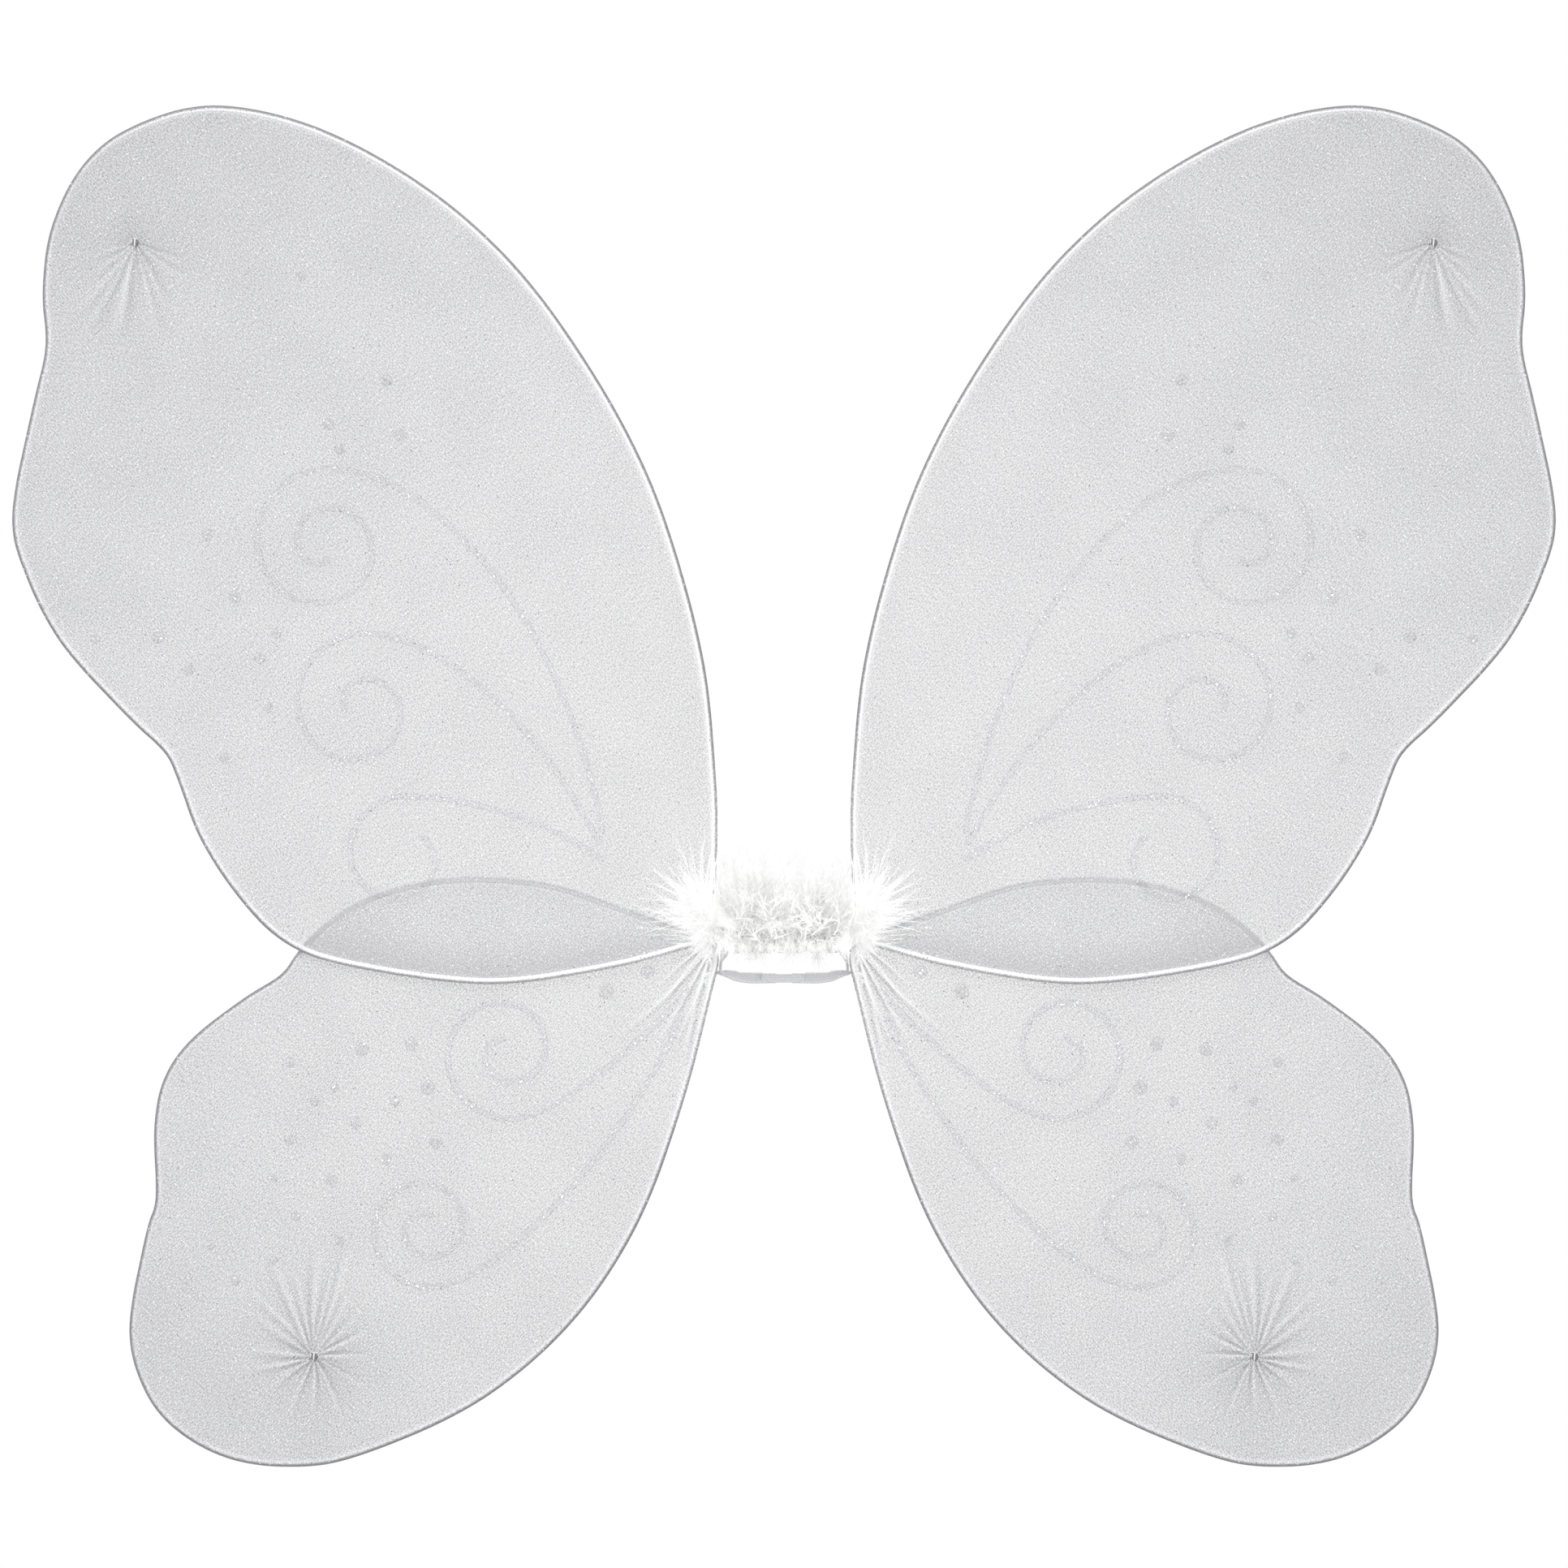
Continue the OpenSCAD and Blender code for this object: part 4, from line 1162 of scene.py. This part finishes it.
def makeBridge():
    low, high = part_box("strap_bridge")
    frontY = (low.y + high.y) / 2 - 0.75 * mm
    half, z = bridge["half"], bridge["z"]
    route = np.array([(-half, frontY, z), (0, frontY - 0.05 * mm, z), (half * 0.9, frontY, z)])
    path = smoothPath(route, 0.6 * mm)
    band = bandMesh("elasticBridge", path, leanUps(path, np.full(len(path), -20.0)), bridge["seen"],
                    strap["thickness"])
    place(band, "core", "elastic", "strap_bridge")
    # the short tabs that hang the band from the middle, turned edge on where they show
    low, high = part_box("strap_tabs")
    for sign in (-1, 1):
        route = np.array([(sign * 20.5 * mm, low.y + 0.6 * mm, high.z + 1 * mm),
                          (sign * 21.4 * mm, low.y + 0.6 * mm, -9.5 * mm),
                          (sign * 22.9 * mm, low.y + 0.9 * mm, -13.5 * mm),
                          (sign * 23.1 * mm, low.y + 1.7 * mm, -17.6 * mm)])
        path = smoothPath(route, 0.6 * mm)
        spread = np.clip((path[:, 2] / mm + 13.5) / 5, 0, 1)
        upright = np.stack([spread, 1.02 - spread, 0 * spread], 1)
        tab = bandMesh("leftElasticTab" if sign < 0 else "rightElasticTab", path, upright, 3.2 * mm, 1.0 * mm)
        place(tab, "core", "elastic", *(["strap_tabs"] if sign < 0 else []))


def makeThreads(name, spots, half, thick, *nodes):
    # short straight stitches: places with the lean of each
    parts = []
    for spot, lean in spots:
        bpy.ops.mesh.primitive_uv_sphere_add(
            segments=10, ring_count=6, radius=1, location=spot,
            scale=(half, thick, thick), rotation=(0, lean, 0))
        parts.append(bpy.context.object)
    whole = joinAll(parts, name, thread)
    softShade(whole)
    place(whole, "core", "thread", *nodes)


def makeStitches():
    low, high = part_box("bartacks")
    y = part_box("strap_bridge")[0].y - 0.55 * mm
    tacks = []
    for x in (-bridge["half"] + 0.25 * mm, bridge["half"] * 0.9 - 0.25 * mm):
        for k in range(7):
            z = bridge["z"] + (k - 3) * bridge["seen"] * 0.13
            tacks.append(((x, y + 0.25 * mm * (k - 3) / 3, z), 0.5 * (-1) ** k))
    makeThreads("bartackThreads", tacks, 0.42 * mm, 0.16 * mm, "bartacks")
    # stitches that show along the lower edge of the feather trim
    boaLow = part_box("marabou_boa")[0]
    rng = np.random.default_rng(4)
    row = []
    for sign in (-1, 1):
        for k in range(5):
            row.append(((sign * (10.2 + 0.95 * k) * mm, boaLow.y + 11 * mm,
                         boaLow.z - (0.1 + 0.3 * (k % 2)) * mm),
                        sign * rng.uniform(0.3, 1.0) * (-1) ** k))
    makeThreads("trimStitches", row, 0.55 * mm, 0.14 * mm)


for side in sideNames:
    makeStrap(side)
makeBridge()
makeStitches()
print("elastic sewn")


# marabou

fluff = {"points": 5, "width": 0.20 * mm, "seed": 77}


def growBarbs(name, starts, aims, bends, lengths, widths, tones, within=None):
    # each barb is a thin curved ribbon that narrows to its tip
    count, steps = len(starts), fluff["points"]
    s = np.linspace(0, 1, steps)
    centre = (starts[:, None, :] + aims[:, None, :] * (lengths[:, None] * s)[..., None]
              + bends[:, None, :] * (lengths[:, None] * s ** 2)[..., None])
    if within:
        # barbs that would reach further out than this curl back inside it
        x = centre[..., 0]
        soft = within * 0.85
        over = np.maximum(np.abs(x) - soft, 0) / (within - soft)
        centre[..., 0] = np.sign(x) * (np.minimum(np.abs(x), soft) + (within - soft) * np.tanh(over))
    rng = np.random.default_rng(fluff["seed"] + count)
    spin = rng.normal(size=(count, 3))
    side = np.cross(aims, spin)
    side /= np.linalg.norm(side, axis=1)[:, None] + 1e-9
    taper = (1 - 0.85 * s)[None, :, None] * widths[:, None, None] / 2
    points = np.stack([centre - side[:, None, :] * taper, centre + side[:, None, :] * taper], 2)
    points = points.reshape(-1, 3)
    base = (np.arange(count) * steps * 2)[:, None] + (np.arange(steps - 1) * 2)[None, :]
    base = base.reshape(-1)
    quads = np.stack([base, base + 1, base + 3, base + 2], 1)
    obj = makeMesh(name, points, quads, down)
    setAttribute(obj, "barbTone", np.repeat(tones, steps * 2))
    return obj


def plumes(rng, baseOf, aimOf, lengthOf, count, barbsEach, barbLength, curl, broad, splay=1.0, dullest=0.15):
    # curved shafts, each with soft barbs on all sides of it
    starts, aims, bends, lengths, widths, tones = [], [], [], [], [], []
    for i in range(count):
        base = np.array(baseOf(i))
        aim = np.array(aimOf(i), float)
        aim /= np.linalg.norm(aim)
        length = lengthOf(i, aim)
        bend = rng.normal(size=3)
        bend -= bend.dot(aim) * aim
        bend *= curl / (np.linalg.norm(bend) + 1e-9) * rng.uniform(0.3, 1.0)
        tone = rng.uniform(dullest, 1.0)
        starts.append(base), aims.append(aim), bends.append(bend)
        lengths.append(length), widths.append(fluff["width"] * 1.5 * broad), tones.append(tone)
        for k in range(barbsEach):
            t = rng.uniform(0.12, 1.0)
            at = base + aim * length * t + bend * length * t * t
            along = aim + bend * 2 * t
            along /= np.linalg.norm(along)
            off = rng.normal(size=3)
            off -= off.dot(along) * along
            off /= np.linalg.norm(off) + 1e-9
            go = along * rng.uniform(0.5, 1.1) + off * rng.uniform(0.4, 1.0) * splay
            go /= np.linalg.norm(go)
            starts.append(at), aims.append(go)
            bends.append(along * 0.35 + rng.normal(size=3) * 0.22 * splay)
            lengths.append(barbLength * rng.uniform(0.5, 1.15) * (1.1 - 0.5 * t))
            widths.append(fluff["width"] * rng.uniform(0.7, 1.2) * broad)
            tones.append(tone * rng.uniform(0.85, 1.0))
    return (np.array(starts), np.array(aims), np.array(bends), np.array(lengths), np.array(widths),
            np.array(tones))


def joinBarbs(*groups):
    return [np.concatenate(parts) for parts in zip(*groups)]


# in each part of the trim and of a tuft: how many plumes, barbs on each, their length, their curl, how
# broad they are, how far they splay from the shaft, and the tone of the dullest, where 1 is white
trimDown = {
    "reach": 25.6 * mm,  # from the middle: a little past the fold line, so it can touch a folding wing
    "short": {"count": 380, "barbsEach": 26, "barbLength": 8.0 * mm, "curl": 0.5, "broad": 1.0},
    "coarse": {"count": 120, "barbsEach": 7, "barbLength": 4.5 * mm, "curl": 0.9, "broad": 2.0,
               "dullest": 0.8},
    "hem": {"count": 190, "barbsEach": 16, "barbLength": 3.2 * mm, "curl": 0.5, "broad": 1.0,
            "dullest": 0.85},
    "wisps": {"count": 46, "barbsEach": 30, "barbLength": 4.5 * mm, "curl": 0.3, "broad": 0.6},
    "corners": {"count": 110, "barbsEach": 14, "barbLength": 3.5 * mm, "curl": 0.4, "broad": 1.0,
                "dullest": 0.85},
}
tuftDown = {
    "core": {"count": 190, "barbsEach": 20, "barbLength": 5.5 * mm, "curl": 0.3, "broad": 1.0,
             "dullest": 0.6},
    "far": {"count": 105, "barbsEach": 34, "barbLength": 5.0 * mm, "curl": 0.18, "broad": 0.6,
            "splay": 0.28, "dullest": 0.85},
    "single": {"count": 26, "barbsEach": 0, "barbLength": 5.0 * mm, "curl": 0.55, "broad": 1.5,
               "dullest": 0.95},
}


def makeBoa():
    low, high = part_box("marabou_boa")
    wrapLow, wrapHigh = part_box("tape_wrap")
    rng = np.random.default_rng(fluff["seed"])
    rootZ = (wrapLow.z + wrapHigh.z) / 2
    halfX = high.x

    def baseOf(i):
        a = rng.uniform(-0.9, 2.5)
        return (rng.uniform(-halfX, halfX), wrapLow.y + 2.5 * mm - 3 * mm * math.cos(a) ** 2,
                rootZ + 1 * mm + 5 * mm * math.sin(a))

    def aimOf(i):
        a = rng.normal(0.55, 0.75)
        return (rng.normal(0, 0.45), -math.cos(a), math.sin(a) + 0.15)

    def lengthOf(i, aim):
        return (13 + 8 * max(aim[2], 0) - 8 * max(-aim[2], 0)) * mm * rng.uniform(0.7, 1.15)

    short = plumes(rng, baseOf, aimOf, lengthOf, **trimDown["short"])

    # coarse curled barbs lying over the front, swept up from both sides
    def frontBase(i):
        return (rng.normal(0, 9.5) * mm, (rng.uniform(-24, -18)) * mm, rng.uniform(-6, 9) * mm)

    def frontAim(i):
        return (rng.normal(0, 1.0), -0.25, rng.uniform(0.2, 1.0))

    def frontLength(i, aim):
        return rng.uniform(5, 10) * mm

    coarse = plumes(rng, frontBase, frontAim, frontLength, **trimDown["coarse"])

    # the lower edge, where the down hangs over the tape
    def hemBase(i):
        return (rng.uniform(-1.12, 1.12) * halfX, wrapLow.y - rng.uniform(1, 9) * mm,
                rng.uniform(-7, -3) * mm)

    def hemAim(i):
        return (rng.normal(0, 0.5), rng.normal(-0.4, 0.4), -1.0)

    def hemLength(i, aim):
        return rng.uniform(3.0, 5.5) * mm

    hem = plumes(rng, hemBase, hemAim, hemLength, **trimDown["hem"])

    # faint wisps that stand above the trim, fewer at the middle
    def wispBase(i):
        return (rng.choice((-1, 1)) * rng.uniform(5, 21) * mm, wrapLow.y - rng.uniform(1, 8) * mm, 8 * mm)

    def wispAim(i):
        return (rng.normal(0, 0.22), rng.normal(-0.1, 0.15), 1.0)

    def wispLength(i, aim):
        return rng.uniform(13, 21) * mm

    wisps = plumes(rng, wispBase, wispAim, wispLength, **trimDown["wisps"])

    # bright down at both lower corners, over the root bindings
    def cornerBase(i):
        return (rng.choice((-1, 1)) * rng.uniform(20, 23.4) * mm, wrapLow.y - rng.uniform(2, 8) * mm,
                rng.uniform(-10, 0) * mm)

    def cornerAim(i):
        return (rng.normal(0, 0.7), rng.normal(-0.5, 0.4), rng.normal(0, 0.8))

    def cornerLength(i, aim):
        return rng.uniform(2.5, 5) * mm

    corners = plumes(rng, cornerBase, cornerAim, cornerLength, **trimDown["corners"])
    barbs = joinBarbs(short, coarse, hem, wisps, corners)
    boa = growBarbs("marabouBoa", *barbs, within=trimDown["reach"])
    place(boa, "core", "marabou", "marabou_boa")


def makeTuft(side):
    flip = -1 if side == "left" else 1
    node = f"{side}_root_tuft"
    rng = np.random.default_rng(fluff["seed"] + 5)
    y0 = joints[f"{side}_fold"]["pos_m"][1] - 3.2 * mm

    def spine(t):
        # the bright line of the tuft, from below the root up and outwards
        return (24.2 + 6.6 * t) * mm, (-7.5 + 19.0 * t) * mm

    def baseOf(i):
        x, z = spine(rng.beta(1.6, 1.8))
        return (x + rng.normal(0, 1.0) * mm, y0 - abs(rng.normal(0.5, 2.4)) * mm, z + rng.normal(0, 1.2) * mm)

    def aimOf(i):
        a = rng.uniform(-1.4, 1.7)
        return (math.cos(a), -abs(rng.normal(0.1, 0.3)), math.sin(a))

    def coreLength(i, aim):
        return rng.uniform(4, 9) * mm

    core = plumes(rng, baseOf, aimOf, coreLength, **tuftDown["core"])

    # long narrow plumes that fan out over the wings
    def farAim(i):
        a = rng.uniform(-0.35, 1.75)
        return (math.cos(a), -abs(rng.normal(0.03, 0.07)), math.sin(a))

    def farLength(i, aim):
        return (11 + 17 * rng.random() ** 1.6) * mm

    far = plumes(rng, baseOf, farAim, farLength, **tuftDown["far"])

    # single coarse barbs with a curl
    single = plumes(rng, baseOf, farAim, farLength, **tuftDown["single"])
    starts, aims, bends, lengths, widths, tones = joinBarbs(core, far, single)
    # barbs that would reach back through the cloth of the wings lean forwards instead
    backMost = y0 + 1.2 * mm
    tooFar = starts[:, 1] + aims[:, 1] * lengths > backMost
    aims[:, 1] = np.where(tooFar, -np.abs(aims[:, 1]) * 0.3, aims[:, 1])
    bends[:, 1] = np.minimum(bends[:, 1], 0.0)
    starts[:, 1] = np.minimum(starts[:, 1], backMost)
    # and few inwards by more than this past the fold line, where they are trapped as the wing folds
    foldX = abs(joints[f"{side}_fold"]["pos_m"][0])
    inward = starts[:, 0] + (aims[:, 0] + bends[:, 0]) * lengths < foldX - 1.2 * mm
    aims[:, 0] = np.where(inward, np.abs(aims[:, 0]), aims[:, 0])
    bends[:, 0] = np.where(inward, np.abs(bends[:, 0]), bends[:, 0])
    mirror = np.array([flip, 1, 1])
    tuft = growBarbs(f"{side}MarabouTuft", starts * mirror, aims * mirror, bends * mirror,
                     lengths, widths, tones)
    place(tuft, f"{side}_root", "marabou", node)
    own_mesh(tuft)


makeBoa()
for side in sideNames:
    makeTuft(side)
print("marabou grown")


# stage, light and camera

# the view is measured where the fronts of the wings lie, wingPlane nearer to the camera than the middle
stage = {"floorDrop": 0.25, "floorRadius": 2.4, "cameraAway": 10.0, "viewWidth": 0.570,
         "viewCentreZ": 0.0513, "wingPlane": 0.008, "sensor": 36}
floorZ = cadBox[0].z - stage["floorDrop"]
bpy.ops.mesh.primitive_circle_add(
    vertices=96, radius=stage["floorRadius"], fill_type="NGON", location=(0, 0, floorZ))
floor = bpy.context.object
floor.name = "floor"
paleFloor, tree = newMaterial("paintedPaleFloor")
spot = addNode(tree, "ShaderNodeTexCoord").outputs["Object"]
speck = addNode(tree, "ShaderNodeTexNoise", {}, {"Vector": spot, "Scale": 12.0, "Detail": 3.0}).outputs["Fac"]
floorColour = addNode(tree, "ShaderNodeMix", {"data_type": "RGBA"}, {
    "Factor": speck, 6: srgb("#d2d2d2"), 7: srgb("#d9d9d9")}).outputs[2]
paint = addNode(tree, "ShaderNodeBsdfPrincipled", {}, {
    "Base Color": floorColour, "Roughness": 0.8}).outputs["BSDF"]
addNode(tree, "ShaderNodeOutputMaterial", {}, {"Surface": paint})
floor.data.materials.append(paleFloor)

world = bpy.data.worlds.new("studioWorld")
bpy.context.scene.world = world
world.use_nodes = True
world.node_tree.nodes["Background"].inputs["Color"].default_value = (1, 1, 1, 1)
world.node_tree.nodes["Background"].inputs["Strength"].default_value = 1.0
bpy.context.scene.view_settings.view_transform = "Standard"

lights = {
    "keyLight": {"place": (-0.9, -1.4, 1.3), "power": 16, "size": 0.7},
    "fillLight": {"place": (1.2, -1.5, 0.2), "power": 6, "size": 1.2},
    "rimLight": {"place": (0.4, 1.4, 1.2), "power": 8, "size": 0.8},
}
for name, light in lights.items():
    bpy.ops.object.light_add(type="AREA", location=light["place"])
    lamp = bpy.context.object
    lamp.name = name
    lamp.data.energy = light["power"]
    lamp.data.size = light["size"]
    lamp.rotation_mode = "QUATERNION"
    lamp.rotation_quaternion = (Vector((0, 0, 0.05)) - lamp.location).to_track_quat("-Z", "Y")

bpy.ops.object.camera_add(
    location=(0, -stage["cameraAway"], stage["viewCentreZ"]), rotation=(math.pi / 2, 0, 0))
camera = bpy.context.object
camera.data.sensor_width = stage["sensor"]
camera.data.lens = stage["sensor"] * (stage["cameraAway"] - stage["wingPlane"]) / stage["viewWidth"]
camera.data.clip_end = 100
bpy.context.scene.camera = camera

print("scene ready")
